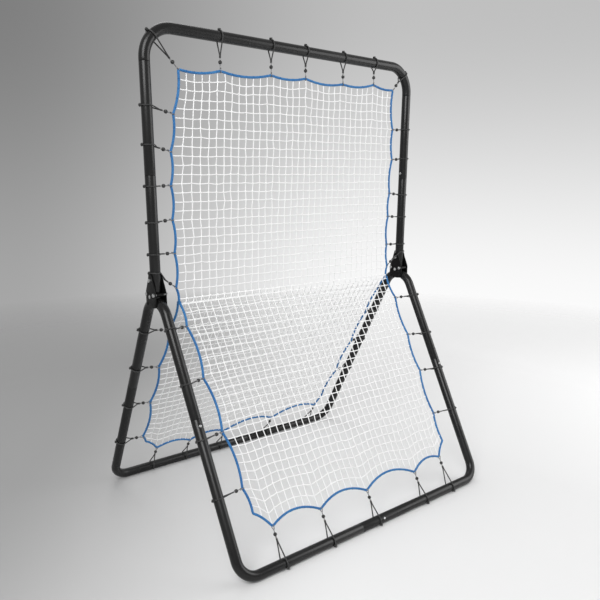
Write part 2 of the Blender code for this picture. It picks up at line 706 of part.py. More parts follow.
def make_net(panel, parts, white):
    """A square mesh net as a lattice of cords that follows the rope's scallops."""
    work = bmesh.new()
    bmesh.ops.create_grid(work, x_segments=NET_COLUMNS, y_segments=NET_ROWS, size=0.5)
    foot = min(vert.co.y for vert in work.verts)
    rim = [edge for edge in work.edges if edge.is_boundary
           and max(vert.co.y for vert in edge.verts) > foot + GAP]
    bmesh.ops.subdivide_edges(work, edges=rim, cuts=1)
    inset = (ROPE_DIAMETER + NET_CORD) / 2 + NET_TO_ROPE
    for vert in work.verts:
        vert.co = panel.net_point(vert.co.x + 0.5, vert.co.y + 0.5, inset)
    mesh = bpy.data.meshes.new("net_" + panel.name)
    work.to_mesh(mesh)
    work.free()
    mesh.shade_smooth()
    net = bpy.data.objects.new("net_" + panel.name, mesh)
    place(net, parts, white)
    lattice = net.modifiers.new("cords", "WIREFRAME")
    lattice.thickness = NET_CORD
    lattice.use_boundary = True
    lattice.use_even_offset = True
    lattice.use_replace = True
    return net


def arc_angles(start, end):
    """Evenly spaced angles of part of a tie's loop, both ends included."""
    count = max(1, ceil((end - start) / TIE_ARC_STEP))
    return [start + (end - start) * k / count for k in range(count + 1)]


def tie_pieces(hook, centre, axis):
    """One tie: an elastic cord looped round the tube, a ball, and a wire hook on the rope.

    Round a foot bar the cord stops short of the floor on both sides, because the bar stands on it.
    """
    direction = (hook - centre).normalized()
    ball = hook - direction * TIE_BALL_FROM_ROPE
    flat = ball - centre - (ball - centre).dot(axis) * axis
    toward = flat.normalized()
    sideways = axis.cross(toward)
    clear = RADIUS + GAP + TIE_CORD / 2
    opening = acos(clear / flat.length)
    half_step = (pi - opening) / (TIE_ARC_POINTS - 1)
    radius = clear / cos(half_step)
    angles = [opening + 2 * half_step * step for step in range(TIE_ARC_POINTS)]
    room = (centre.z - TIE_CORD / 2 - GAP) / radius
    on_floor = room < 1
    if on_floor:
        down = atan2(-sideways.z, -toward.z) % (2 * pi)
        spread = acos(room)
        near = arc_angles(opening, down - spread)
        far = arc_angles(down + spread, 2 * pi - opening)
        angles = far + [None] + near
    else:
        angles = [None] + angles
    points = [ball if angle is None else centre + (toward * cos(angle) + sideways * sin(angle)) * radius
              for angle in angles]
    loop = cord_curve("tie_loop", points, TIE_CORD, 0, cyclic=not on_floor)
    stations = ((-TIE_BALL / 2, TIE_BALL / 2), (0, TIE_BALL), (TIE_BALL / 2, TIE_WIRE),
                (TIE_BALL_FROM_ROPE, TIE_WIRE))
    stem = cord_curve("tie_stem", [ball + direction * along for along, _ in stations], 1.0, 0,
                      radii=[width for _, width in stations])
    return [to_mesh(loop), to_mesh(stem)]


def make_rope(panel, parts, blue):
    """The border rope with its ties worked onto it as one piece."""
    rope = to_mesh(cord_curve("border_rope_" + panel.name, panel.rope_points(), ROPE_DIAMETER, 0))
    joined = bmesh.new()
    for x, reach, centre, axis in panel.ties:
        for piece in tie_pieces(panel.point(x, reach), centre, axis):
            joined.from_mesh(piece.data)
            bpy.data.objects.remove(piece, do_unlink=True)
    mesh = bpy.data.meshes.new("ties_" + panel.name)
    joined.to_mesh(mesh)
    joined.free()
    ties = bpy.data.objects.new("ties_" + panel.name, mesh)
    bpy.context.scene.collection.objects.link(ties)
    cut(rope, ties, "UNION", apply_self=True)
    made = to_mesh(rope)
    bpy.data.objects.remove(ties, do_unlink=True)
    shade(made)
    return place(made, parts, blue)


def hang_on_pivot(word, front, pieces, parts):
    """Parents a leg frame's pieces, and the cutters that shape them, to an empty on its hinge axis."""
    pivot = bpy.data.objects.new(word + "_pivot", None)
    pivot.location = (0, front * PIVOT_OFFSET, PIVOT_HEIGHT)
    parts.objects.link(pivot)
    bpy.context.view_layer.update()
    for piece in pieces:
        cutters = [modifier.object for modifier in piece.modifiers if modifier.type == "BOOLEAN"]
        for obj in [piece] + cutters:
            obj.parent = pivot
            obj.matrix_parent_inverse = pivot.matrix_world.inverted()


def main():
    clear_scene()
    parts = make_collection("double_sided_rebounder")
    cutters = make_collection("cutters")
    finish = make_finishes()
    steel, coat, zinc = finish["powder_coat"], finish["plate_coat"], finish["zinc"]
    make_upper_tubes(parts, cutters, steel, zinc)
    make_plates(parts, coat)
    make_hinge_fasteners(parts, zinc, coat)
    upper = upper_panel()
    make_net(upper, parts, finish["white_net"])
    make_rope(upper, parts, finish["blue_rope"])
    for word, front in (("front", -1), ("rear", 1)):
        pieces = make_leg_frame(word, front, parts, cutters, steel, zinc)
        panel = lower_panel(word, front)
        pieces.append(make_net(panel, parts, finish["white_net"]))
        pieces.append(make_rope(panel, parts, finish["blue_rope"]))
        hang_on_pivot(word, front, pieces, parts)


main()
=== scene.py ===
import json
import logging
from dataclasses import dataclass, field
from enum import Enum
from math import acos, asin, ceil, cos, pi, radians, sin, sqrt, tan
from typing import Iterable, Optional, Sequence

import bmesh
import bpy
import numpy as np
from bpy.types import Material, Mesh, Node, NodeSocket, NodeTree, Object
from mathutils import Matrix, Vector


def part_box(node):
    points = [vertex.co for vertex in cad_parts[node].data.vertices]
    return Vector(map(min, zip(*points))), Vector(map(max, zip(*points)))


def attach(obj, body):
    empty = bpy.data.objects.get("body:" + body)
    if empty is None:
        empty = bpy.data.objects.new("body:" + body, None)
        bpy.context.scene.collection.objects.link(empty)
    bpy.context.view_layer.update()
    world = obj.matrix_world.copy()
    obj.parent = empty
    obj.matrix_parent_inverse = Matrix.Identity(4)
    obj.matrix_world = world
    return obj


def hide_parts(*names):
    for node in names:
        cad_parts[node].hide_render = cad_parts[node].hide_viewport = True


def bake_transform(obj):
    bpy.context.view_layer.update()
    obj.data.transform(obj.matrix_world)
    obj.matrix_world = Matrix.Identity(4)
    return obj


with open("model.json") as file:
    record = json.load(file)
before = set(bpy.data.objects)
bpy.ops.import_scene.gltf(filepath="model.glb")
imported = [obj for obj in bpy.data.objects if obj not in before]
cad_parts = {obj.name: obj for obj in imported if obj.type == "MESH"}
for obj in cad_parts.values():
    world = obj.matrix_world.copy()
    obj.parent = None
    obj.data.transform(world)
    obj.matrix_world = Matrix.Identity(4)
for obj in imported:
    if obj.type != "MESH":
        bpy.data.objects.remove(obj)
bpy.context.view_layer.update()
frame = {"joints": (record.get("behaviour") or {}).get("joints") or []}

log = logging.getLogger("rebounder")

# Sizes read from the frame, in metres
TUBE_LOW, TUBE_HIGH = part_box("upper_side_tube_right")
RADIUS = (TUBE_HIGH.x - TUBE_LOW.x) / 2
HALF_WIDTH = (TUBE_HIGH.x + TUBE_LOW.x) / 2
UPPER_JOINT = TUBE_LOW.z
RAIL_JOINT = TUBE_HIGH.z
RAIL_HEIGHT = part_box("upper_rail")[1].z - RADIUS
PIVOT = Vector(frame["joints"][0]["pos_m"])
PIVOT_OFFSET = abs(PIVOT.y)
PIVOT_HEIGHT = PIVOT.z
PLATE_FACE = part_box("hinge_plate_right_outer")[1].x - HALF_WIDTH
PLATE_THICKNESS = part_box("hinge_plate_right_outer")[1].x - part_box("hinge_plate_right_outer")[0].x

# Shape of the frame
LEG_ANGLE = radians(28.0)
FOLD_ANGLE = radians(frame["joints"][0]["range_deg"][1])
RAIL_BEND = 0.105
FOOT_BEND = 0.070
LEG_BEND = 0.082
LEG_JOINT_DISTANCE = 0.565
FOOT_JOINT_OFFSET = 0.085
TUBE_WALL = 0.0015
SPIGOT_LENGTH = 0.055
FOOT_SPIGOT_LENGTH = 0.140
STOP_GAP = 0.0006
PLATE_TOP = 0.102
CLAMP_HEIGHTS = (0.022, 0.080)
ARCH_CENTRE = PIVOT_HEIGHT - sqrt(LEG_BEND ** 2 - PIVOT_OFFSET ** 2)
ARCH_HEIGHT = ARCH_CENTRE + LEG_BEND
LEG_LINE_TOP = ARCH_CENTRE + LEG_BEND / sin(LEG_ANGLE)
FOOT_SPREAD = (LEG_LINE_TOP - RADIUS) * tan(LEG_ANGLE)

# Nets, ropes and ties
ROPE = 0.0044
ELASTIC = 0.0024
SPLICE = 1.04
SPLICE_GAP = 0.0002
SEAM_DROP = 0.007
SEAM_HEIGHT = ARCH_HEIGHT - SEAM_DROP
SEAM_OFFSET = 0.010
UPPER_NET_FOOT = 0.004
LOWER_NET_TOP = 0.018
NET_SIDE_GAP = 0.090
NET_CORNER_GAP = 0.118
RAIL_CORNER_GAP, RAIL_NET_GAP = 0.111, 0.103
BAR_CORNER_GAP, BAR_NET_GAP = 0.198, 0.124
UPPER_FIRST_TIE, UPPER_LAST_TIE = 0.052, 0.1565
LOWER_FIRST_TIE, LOWER_LAST_TIE = 0.088, 0.099

SIDES = (("left", -1), ("right", 1))
FRAMES = (("front", -1), ("rear", 1))

Colour = tuple[float, float, float, float]
Pairs = list[tuple[float, float]]
Spot = tuple[Vector, Vector, Vector]


class Body(Enum):
    """The bodies that pieces ride on."""

    UPPER = "upper_frame"
    FRONT = "front_leg_frame"
    REAR = "rear_leg_frame"


class Attribute(Enum):
    """Name and type of the attributes that shapes and finishes share."""

    WIDTH = ("width", "FLOAT")
    ALONG = ("along", "FLOAT")
    ROUND = ("round", "FLOAT_VECTOR")
    FACING = ("facing", "FLOAT_VECTOR")
    SIDEWAYS = ("sideways", "FLOAT_VECTOR")
    KNOT = ("knot", "FLOAT")


# Node trees

class NodeBuilder:
    """Adds nodes to one tree."""

    def __init__(self, tree: NodeTree) -> None:
        """Starts on a tree."""
        self.tree = tree

    def feed(self, socket: NodeSocket, value: object) -> None:
        """Links a socket to an output, or sets its constant.

        Args:
            socket: an input of a node.
            value: an output, or a constant.
        """
        if isinstance(value, NodeSocket):
            self.tree.links.new(value, socket)
        else:
            socket.default_value = value

    def node(self, kind: str, values: Optional[dict] = None, **settings: object) -> Node:
        """Adds a node.

        Args:
            kind: the node's type.
            values: what each input takes, by its name or number.
            settings: the node's properties.

        Returns:
            The node.
        """
        made = self.tree.nodes.new(kind)
        for name, value in settings.items():
            setattr(made, name, value)
        for key, value in (values or {}).items():
            self.feed(made.inputs[key], value)
        return made

    def first(self, kind: str, values: Optional[dict] = None, **settings: object) -> NodeSocket:
        """Adds a node and returns its first output."""
        return self.node(kind, values, **settings).outputs[0]

    def math(self, operation: str, a: object, b: object = 0.0) -> NodeSocket:
        """The result of a math node."""
        return self.first("ShaderNodeMath", {0: a, 1: b}, operation=operation)

    def dot(self, place: NodeSocket, toward: Sequence[float]) -> NodeSocket:
        """How far a place lies towards a direction."""
        made = self.node("ShaderNodeVectorMath", {0: place, 1: toward}, operation="DOT_PRODUCT")
        return made.outputs["Value"]

    def ramp(self, value: NodeSocket, low: float, high: float, start: float = 0.0, end: float = 1.0,
             curve: str = "LINEAR") -> NodeSocket:
        """A value mapped from low..high to start..end and held there."""
        values = {"Value": value, "From Min": low, "From Max": high, "To Min": start, "To Max": end}
        return self.first("ShaderNodeMapRange", values, interpolation_type=curve)


class ShaderTree(NodeBuilder):
    """Builds one material's nodes around its Principled BSDF."""

    def __init__(self, name: str) -> None:
        """Starts a material.

        Args:
            name: the material's name.
        """
        self.material = bpy.data.materials.new(name)
        self.material.use_nodes = True
        super().__init__(self.material.node_tree)
        self.shader = self.tree.nodes["Principled BSDF"]

    def set(self, **values: object) -> None:
        """Sets the shader's own sockets, named with _ for a space."""
        for name, value in values.items():
            self.feed(self.shader.inputs[name.replace("_", " ")], value)

    def place(self) -> NodeSocket:
        """Object coordinates, in metres."""
        return self.node("ShaderNodeTexCoord").outputs["Object"]

    def attribute(self, attribute: Attribute, output: str) -> NodeSocket:
        """One output of a mesh attribute."""
        return self.node("ShaderNodeAttribute", attribute_name=attribute.value[0]).outputs[output]

    def noise(self, scale: float, detail: float, stretch: Sequence[float] = (1, 1, 1)) -> NodeSocket:
        """A noise value on object coordinates.

        Args:
            scale: features a metre.
            detail: octaves.
            stretch: along each axis.

        Returns:
            The noise's output.
        """
        mapped = self.first("ShaderNodeMapping", {"Scale": stretch, "Vector": self.place()})
        made = self.node("ShaderNodeTexNoise", {"Scale": scale, "Detail": detail, "Vector": mapped})
        return made.outputs["Fac"]

    def mix(self, share: object, a: object, b: object) -> NodeSocket:
        """Two colours mixed by a share."""
        return self.node("ShaderNodeMix", {0: share, 6: a, 7: b}, data_type="RGBA").outputs[2]

    def bump(self, height: NodeSocket, distance: float, strength: float = 1.0,
             under: Optional[NodeSocket] = None) -> NodeSocket:
        """A normal from a height.

        Args:
            height: the relief, from 0 to 1.
            distance: its depth in metres.
            strength: its share of the normal.
            under: a normal that lies below it.

        Returns:
            The normal's output.
        """
        values = {"Distance": distance, "Strength": strength, "Height": height}
        if under is not None:
            values["Normal"] = under
        return self.first("ShaderNodeBump", values)


def grey(value: float) -> Colour:
    """A neutral colour."""
    return (value, value, value, 1.0)


@dataclass(frozen=True)
class Finish:
    """A finish of two tones, which each kind paints in its own way."""

    name: str
    colour: Colour
    tone: Colour
    roughness: float

    def paint(self, tree: ShaderTree) -> None:
        """Sets the shader's sockets."""
        raise NotImplementedError

    def material(self) -> Material:
        """Builds the finish.

        Returns:
            The material.
        """
        tree = ShaderTree(self.name)
        self.paint(tree)
        return tree.material


@dataclass(frozen=True)
class Coat(Finish):
    """Powder coat or paint on steel: orange peel, faint dust and rubbed streaks."""

    peel: float
    gloss: float
    clouds: float = 7.0
    specks: float = 420.0
    scuffs: float = 38.0
    pores: float = 620.0

    def paint(self, tree: ShaderTree) -> None:
        """Lays dust, streaks and peel over the colour.

        Args:
            tree: the material's shader.
        """
        cloud = tree.noise(self.clouds, 4.0)
        speck = tree.noise(self.specks, 2.0)
        marks = tree.ramp(tree.noise(self.scuffs, 6.0, (1.0, 1.0, 0.25)), 0.66, 0.74, 0.0, 0.55)
        rubbed = tree.math("MULTIPLY", marks, tree.ramp(speck, 0.35, 0.7))
        colour = tree.mix(tree.ramp(cloud, 0.45, 0.75, 0.0, 0.30), self.colour, self.tone)
        rough = tree.ramp(cloud, 0.3, 0.7, self.roughness - 0.05, self.roughness + 0.07)
        peel = tree.bump(tree.noise(self.pores, 1.0), self.peel)
        tree.set(Base_Color=tree.mix(rubbed, colour, self.tone), IOR=1.5,
                 Roughness=tree.math("ADD", rough, tree.math("MULTIPLY", marks, 0.15)),
                 Normal=tree.bump(speck, self.peel * 0.6, 0.6, peel), Specular_IOR_Level=self.gloss)


@dataclass(frozen=True)
class Plating(Finish):
    """Bright zinc or steel: blotched tint and fine turning marks."""

    blotches: float = 160.0
    grain: float = 900.0
    marks: float = 1500.0
    depth: float = 0.00004

    def paint(self, tree: ShaderTree) -> None:
        """Lays blotches and turning marks over the metal.

        Args:
            tree: the material's shader.
        """
        blotch = tree.ramp(tree.noise(self.blotches, 4.0), 0.35, 0.65)
        rough = tree.ramp(tree.noise(self.grain, 2.0), 0.3, 0.7, self.roughness, self.roughness + 0.14)
        tree.set(Metallic=1.0, Base_Color=tree.mix(blotch, self.colour, self.tone), Roughness=rough,
                 Normal=tree.bump(tree.noise(self.marks, 1.0, (1.0, 1.0, 0.2)), self.depth))


@dataclass(frozen=True)
class Braid(Finish):
    """Braided cord: strands that wind both ways and cross, shadowed between, over fine yarn."""

    light: Colour
    strands: int
    pitch: float
    depth: float
    sheen: float
    patches: float = 9.0
    yarn: float = 2200.0

    def weave(self, tree: ShaderTree, turn: float) -> NodeSocket:
        """Ridges of the strands that wind one way, from 0 to 1.

        Args:
            tree: the material's tree.
            turn: 1 or -1, the way that they wind.

        Returns:
            The ridges' height.
        """
        ring = tree.node("ShaderNodeSeparateXYZ", {0: tree.attribute(Attribute.ROUND, "Vector")}).outputs
        angle = tree.math("MULTIPLY", tree.math("ARCTAN2", ring[1], ring[0]), float(self.strands))
        length = tree.attribute(Attribute.ALONG, "Fac")
        along = tree.math("MULTIPLY", length, turn * 2 * pi / self.pitch)
        return tree.ramp(tree.math("COSINE", tree.math("ADD", angle, along)), -1.0, 1.0)

    def paint(self, tree: ShaderTree) -> None:
        """Lays the strands, with painted shade in the grooves between them, and the worn yarn.

        Args:
            tree: the material's shader.
        """
        over = tree.math("MAXIMUM", self.weave(tree, 1.0), self.weave(tree, -1.0))
        # Painted shade: the tone darkens the grooves between the raised strands.
        colour = tree.mix(tree.ramp(over, 0.45, 0.95), self.tone, self.colour)
        fade = tree.ramp(tree.noise(self.patches, 3.0), 0.35, 0.7, 0.0, 0.6)
        yarn = tree.noise(self.yarn, 2.0)
        tree.set(Base_Color=tree.mix(tree.math("MULTIPLY", fade, yarn), colour, self.light),
                 Roughness=self.roughness, Sheen_Weight=self.sheen, Sheen_Roughness=0.4,
                 Normal=tree.bump(yarn, self.depth * 0.25, 0.7, tree.bump(over, self.depth)))


@dataclass(frozen=True)
class Moulding(Finish):
    """Moulded plastic: a fine grain and a slight change of tone."""

    clear: float = 0.0
    clouds: float = 90.0
    grain: float = 1800.0
    depth: float = 0.00003

    def paint(self, tree: ShaderTree) -> None:
        """Lays the grain over the colour.

        Args:
            tree: the material's shader.
        """
        cloud = tree.noise(self.clouds, 3.0)
        colour = tree.mix(tree.ramp(cloud, 0.35, 0.65), self.colour, self.tone)
        rough = tree.ramp(cloud, 0.3, 0.7, self.roughness, self.roughness + 0.1)
        tree.set(Base_Color=colour, Roughness=rough, Transmission_Weight=self.clear, IOR=1.49,
                 Normal=tree.bump(tree.noise(self.grain, 1.0), self.depth))


class Finishes:
    """Every finish of the object, built once."""

    def __init__(self) -> None:
        """Builds the materials."""
        black, deep_black = (0.006, 0.006, 0.006, 1), (0.004, 0.004, 0.004, 1)
        self.powder = Coat("powder_coat", black, grey(0.020), 0.27, 0.00004, 0.36).material()
        self.plate = Coat("plate_coat", deep_black, grey(0.014), 0.42, 0.00006, 0.16).material()
        self.zinc = Plating("zinc", (0.62, 0.63, 0.64, 1), (0.48, 0.48, 0.47, 1), 0.22).material()
        self.wire = Plating("hook_wire", (0.26, 0.26, 0.27, 1), (0.18, 0.18, 0.18, 1), 0.30).material()
        # The second colour of each braid is painted shade between its strands.
        self.rope = Braid("blue_rope", (0.013, 0.150, 0.400, 1), (0.006, 0.085, 0.260, 1), 0.62,
                          (0.05, 0.27, 0.56, 1), 4, 0.012, 0.0004, 0.10).material()
        self.elastic = Braid("elastic_cord", grey(0.018), grey(0.006), 0.55, grey(0.060),
                             4, 0.005, 0.00015, 0.15).material()
        self.net = Braid("net_cord", grey(0.93), grey(0.80), 0.70, grey(0.96),
                         1, 0.0052, 0.0003, 0.20).material()
        self.lacing = Braid("lacing_cord", grey(0.94), grey(0.82), 0.70, grey(0.96),
                            2, 0.006, 0.0003, 0.20).material()
        self.ball = Moulding("ball_plastic", grey(0.012), grey(0.022), 0.28).material()
        self.bead = Moulding("bead_plastic", grey(0.36), grey(0.50), 0.10, 0.55).material()


# Geometry node trees

class ShapeTree(NodeBuilder):
    """Builds one geometry node tree with named inputs."""

    def __init__(self, name: str, **inputs: str) -> None:
        """Starts a tree.

        Args:
            name: the tree's name.
            inputs: type of each input between the geometry and the material.
        """
        super().__init__(bpy.data.node_groups.new(name, "GeometryNodeTree"))
        face = self.tree.interface
        for way in ("INPUT", "OUTPUT"):
            face.new_socket("Geometry", in_out=way, socket_type="NodeSocketGeometry")
        for label, kind in {**inputs, "Material": "Material"}.items():
            face.new_socket(label, in_out="INPUT", socket_type="NodeSocket" + kind)
        self.given = self.tree.nodes.new("NodeGroupInput").outputs
        self.result = self.tree.nodes.new("NodeGroupOutput")

    def read(self, attribute: Attribute) -> NodeSocket:
        """A named attribute."""
        name, kind = attribute.value
        return self.first("GeometryNodeInputNamedAttribute", {"Name": name}, data_type=kind)

    def store(self, geometry: NodeSocket, attribute: Attribute, value: NodeSocket) -> NodeSocket:
        """Stores a named attribute on the geometry's points.

        Args:
            geometry: what it is stored on.
            attribute: its name and type.
            value: its value at each point.

        Returns:
            The geometry's output.
        """
        name, kind = attribute.value
        values = {"Geometry": geometry, "Name": name, "Value": value}
        return self.first("GeometryNodeStoreNamedAttribute", values, data_type=kind, domain="POINT")

    def piece(self, label: str) -> NodeSocket:
        """The shape of the object that an input names."""
        return self.node("GeometryNodeObjectInfo", {"Object": self.given[label]}).outputs["Geometry"]

    def sweep(self, caps: object) -> NodeSocket:
        """A round cord along the mesh's edges, with its length and its turn stored for the finish.

        Args:
            caps: whether the ends are closed.

        Returns:
            The cords' mesh.
        """
        paths = self.first("GeometryNodeMeshToCurve", {"Mesh": self.given["Geometry"]})
        length = self.node("GeometryNodeSplineParameter").outputs["Length"]
        circle = {"Resolution": self.given["Sides"], "Radius": self.given["Radius"]}
        profile = self.first("GeometryNodeCurvePrimitiveCircle", circle)
        place = self.first("GeometryNodeInputPosition")
        turn = self.first("ShaderNodeVectorMath", {0: place}, operation="NORMALIZE")
        return self.first("GeometryNodeCurveToMesh", {
            "Curve": self.store(paths, Attribute.ALONG, length),
            "Profile Curve": self.store(profile, Attribute.ROUND, turn),
            "Scale": self.read(Attribute.WIDTH), "Fill Caps": caps})

    def turned(self, piece: NodeSocket, **chosen: NodeSocket) -> NodeSocket:
        """Copies of a piece on the mesh's points, Z along each one's facing and X along its sideways.

        Args:
            piece: the shape that is copied.
            chosen: Selection, where only some points carry one.

        Returns:
            The copies.
        """
        kind = "FunctionNodeAlignRotationToVector"
        up = self.first(kind, {"Vector": self.read(Attribute.FACING)}, axis="Z", pivot_axis="AUTO")
        turn = self.first(kind, {"Rotation": up, "Vector": self.read(Attribute.SIDEWAYS)},
                          axis="X", pivot_axis="Z")
        values = {"Points": self.given["Geometry"], "Instance": piece, "Rotation": turn, **chosen}
        return self.first("GeometryNodeInstanceOnPoints", values)

    def finish(self, geometry: NodeSocket, smooth: bool = True) -> NodeTree:
        """Ends the tree: instances made real, shaded, and given the material input.

        Args:
            geometry: what the tree made.
            smooth: whether its faces are shaded smooth.

        Returns:
            The tree.
        """
        real = self.first("GeometryNodeRealizeInstances", {0: geometry})
        if smooth:
            real = self.first("GeometryNodeSetShadeSmooth", {"Geometry": real, "Shade Smooth": True})
        values = {"Geometry": real, "Material": self.given["Material"]}
        self.feed(self.result.inputs[0], self.first("GeometryNodeSetMaterial", values))
        return self.tree


def cord_tree() -> NodeTree:
    """A tree that makes a round cord or tube along the edges of a mesh, its strands raised.

    Returns:
        The tree.
    """
    shape = ShapeTree("cord_along_path", Radius="Float", Sides="Int", Caps="Bool",
                      Strands="Float", Pitch="Float", Relief="Float")
    cord = shape.sweep(shape.given["Caps"])
    ring = shape.node("ShaderNodeSeparateXYZ", {0: shape.read(Attribute.ROUND)}).outputs
    angle = shape.math("MULTIPLY", shape.math("ARCTAN2", ring[1], ring[0]), shape.given["Strands"])
    turns = shape.math("DIVIDE", shape.read(Attribute.ALONG), shape.given["Pitch"])
    along = shape.math("MULTIPLY", turns, 2 * pi)
    waves = [shape.math("COSINE", shape.math(way, angle, along)) for way in ("ADD", "SUBTRACT")]
    height = shape.math("MULTIPLY", shape.math("MAXIMUM", *waves), shape.given["Relief"])
    normal = shape.first("GeometryNodeInputNormal")
    raised = shape.first("ShaderNodeVectorMath", {0: normal, "Scale": height}, operation="SCALE")
    return shape.finish(shape.first("GeometryNodeSetPosition", {"Geometry": cord, "Offset": raised}))


def net_tree() -> NodeTree:
    """A tree that makes net cords along the edges of a mesh, and a knot at each marked point.

    Returns:
        The tree.
    """
    shape = ShapeTree("knotted_net", Radius="Float", Sides="Int", Knot="Object")
    cords = shape.sweep(True)
    marked = shape.first("FunctionNodeCompare", {0: shape.read(Attribute.KNOT), 1: 0.5},
                         data_type="FLOAT", operation="GREATER_THAN")
    both = shape.node("GeometryNodeJoinGeometry")
    for part in (cords, shape.turned(shape.piece("Knot"), Selection=marked)):
        shape.feed(both.inputs[0], part)
    return shape.finish(both.outputs[0])


def copies_tree() -> NodeTree:
    """A tree that puts a copy of a piece on each point."""
    shape = ShapeTree("copies_on_points", Piece="Object")
    return shape.finish(shape.turned(shape.piece("Piece")), smooth=False)


# Objects

def link(data: bpy.types.ID, name: str = "blank") -> Object:
    """Puts a mesh, lamp or camera into the scene.

    Args:
        data: what the object shows.
        name: the object's name.

    Returns:
        The object.
    """
    obj = bpy.data.objects.new(name, data)
    bpy.context.scene.collection.objects.link(obj)
    return obj


def discard(*objects: Object) -> None:
    """Removes objects from the scene."""
    for obj in objects:
        bpy.data.objects.remove(obj, do_unlink=True)


def add_tree(obj: Object, tree: NodeTree, **values: object) -> None:
    """Adds a node tree to an object and sets its inputs.

    Args:
        obj: the object.
        tree: the Geometry Nodes tree.
        values: what each named input takes.
    """
    modifier = obj.modifiers.new(tree.name, "NODES")
    modifier.node_group = tree
    for item in tree.interface.items_tree:
        if item.in_out == "INPUT" and item.name in values:
            modifier[item.identifier] = values[item.name]


def evaluated(obj: Object) -> Mesh:
    """The mesh that an object and its modifiers make; the object is removed.

    Args:
        obj: an object whose place is in its mesh.

    Returns:
        The plain mesh.
    """
    bpy.context.view_layer.update()
    depsgraph = bpy.context.evaluated_depsgraph_get()
    mesh = bpy.data.meshes.new_from_object(obj.evaluated_get(depsgraph), depsgraph=depsgraph)
    discard(obj)
    return mesh


def boolean(obj: Object, cutter: Object, operation: str = "DIFFERENCE") -> None:
    """Adds an exact Boolean.

    Args:
        obj: the object that is cut.
        cutter: the object that cuts it.
        operation: what is done with the cutter.
    """
    modifier = obj.modifiers.new(cutter.name, "BOOLEAN")
    modifier.operation = operation
    modifier.solver = "EXACT"
    modifier.object = cutter


def smooth_by_angle(mesh: Mesh, angle: float = 35.0) -> None:
    """Shades a mesh smooth, with its sharper edges kept."""
    mesh.shade_smooth()
    mesh.set_sharp_from_angle(angle=radians(angle))


@dataclass
class Piece:
    """One finished piece: its mesh, what it rides on and what it stands for."""

    name: str
    mesh: Mesh
    body: Body
    stands_for: Sequence[str] = ()
    slot: Optional[str] = None
    blend_to: Optional[Body] = None
    blend_from: Sequence[float] = (0.0, 0.0, 0.0)
    blend_end: Sequence[float] = (0.0, 0.0, 0.0)

    def add(self) -> None:
        """Puts the piece into the scene, on its body unless blend_to is set, and hides the CAD parts that it
        stands for.
        """
        self.mesh.name = self.name
        obj = link(self.mesh, self.name)
        if self.blend_to is None:
            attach(obj, self.body.value)
        else:
            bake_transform(obj)
        if self.stands_for:
            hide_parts(*self.stands_for)
        log.info("%s: %d faces on %s", self.name, len(self.mesh.polygons), self.body.value)


def write_attribute(mesh: Mesh, attribute: Attribute, values: Sequence) -> None:
    """Stores an attribute on a mesh's points.

    Args:
        mesh: the mesh.
        attribute: its name and type.
        values: one for each point.
    """
    name, kind = attribute.value
    layer = mesh.attributes.new(name, kind, "POINT")
    layer.data.foreach_set("value" if kind == "FLOAT" else "vector", np.ravel(values))


def path_mesh(paths: Iterable[Sequence[Vector]], closed: bool = False,
              widths: Optional[Sequence[float]] = None) -> Mesh:
    """A mesh of edges along each path.

    Args:
        paths: points of each path.
        closed: whether each path closes on itself.
        widths: share of the full radius at each point of a single path.

    Returns:
        The mesh, with its width attribute.
    """
    points, edges = [], []
    for path in paths:
        first = len(points)
        points.extend(path)
        last = len(points) - 1
        edges.extend((k, k + 1) for k in range(first, last))
        if closed:
            edges.append((last, first))
    mesh = bpy.data.meshes.new("paths")
    mesh.from_pydata([tuple(point) for point in points], edges, [])
    write_attribute(mesh, Attribute.WIDTH, widths or [1.0] * len(points))
    return mesh


def point_mesh(spots: Iterable[Spot]) -> Mesh:
    """A mesh of loose points, each with its facing and sideways directions.

    Args:
        spots: place, facing and sideways of each point.

    Returns:
        The mesh.
    """
    places, facings, sideways = zip(*spots)
    mesh = bpy.data.meshes.new("points")
    mesh.from_pydata([tuple(place) for place in places], [], [])
    write_attribute(mesh, Attribute.FACING, facings)
    write_attribute(mesh, Attribute.SIDEWAYS, sideways)
    return mesh


def rounded_path(corners: Sequence[Sequence[float]], bends: Sequence[float],
                 steps: int = 16) -> list[Vector]:
    """Straight runs between the corners, with an arc of each radius at the inner corners.

    Args:
        corners: the path's ends and corners.
        bends: radius at each inner corner.
        steps: count along each arc.

    Returns:
        The path's points.
    """
    points = [Vector(corners[0])]
    for before, corner, after, bend in zip(corners, corners[1:], corners[2:], bends):
        middle = Vector(corner)
        back = (Vector(before) - middle).normalized()
        ahead = (Vector(after) - middle).normalized()
        half = back.angle(ahead) / 2
        centre = middle + (back + ahead).normalized() * bend / sin(half)
        start = middle + back * bend / tan(half) - centre
        end = middle + ahead * bend / tan(half) - centre
        axis = start.cross(end).normalized()
        turn = start.angle(end)
        points += [centre + Matrix.Rotation(turn * k / steps, 3, axis) @ start for k in range(steps + 1)]
    return points + [Vector(corners[-1])]


def mesh_from(work: bmesh.types.BMesh) -> Mesh:
    """A new mesh from work in bmesh, which is freed.

    Args:
        work: the geometry.

    Returns:
        The mesh.
    """
    mesh = bpy.data.meshes.new("mesh")
    work.to_mesh(mesh)
    work.free()
    return mesh


def clean(work: bmesh.types.BMesh) -> None:
    """Merges doubled points and turns the faces outwards."""
    bmesh.ops.remove_doubles(work, verts=work.verts, dist=1e-6)
    bmesh.ops.recalc_face_normals(work, faces=work.faces)


def turned_mesh(profile: Pairs, sides: int) -> Mesh:
    """A closed solid turned about Z from radius and height, top to bottom.

    Args:
        profile: radius and height of each point; a radius of 0 closes an end.
        sides: count round the solid.

    Returns:
        The mesh.
    """
    work = bmesh.new()
    line = [work.verts.new((radius, 0.0, height)) for radius, height in profile]
    edges = [work.edges.new(pair) for pair in zip(line, line[1:])]
    bmesh.ops.spin(work, geom=line + edges, cent=(0, 0, 0), axis=(0, 0, 1), angle=2 * pi, steps=sides)
    clean(work)
    return mesh_from(work)


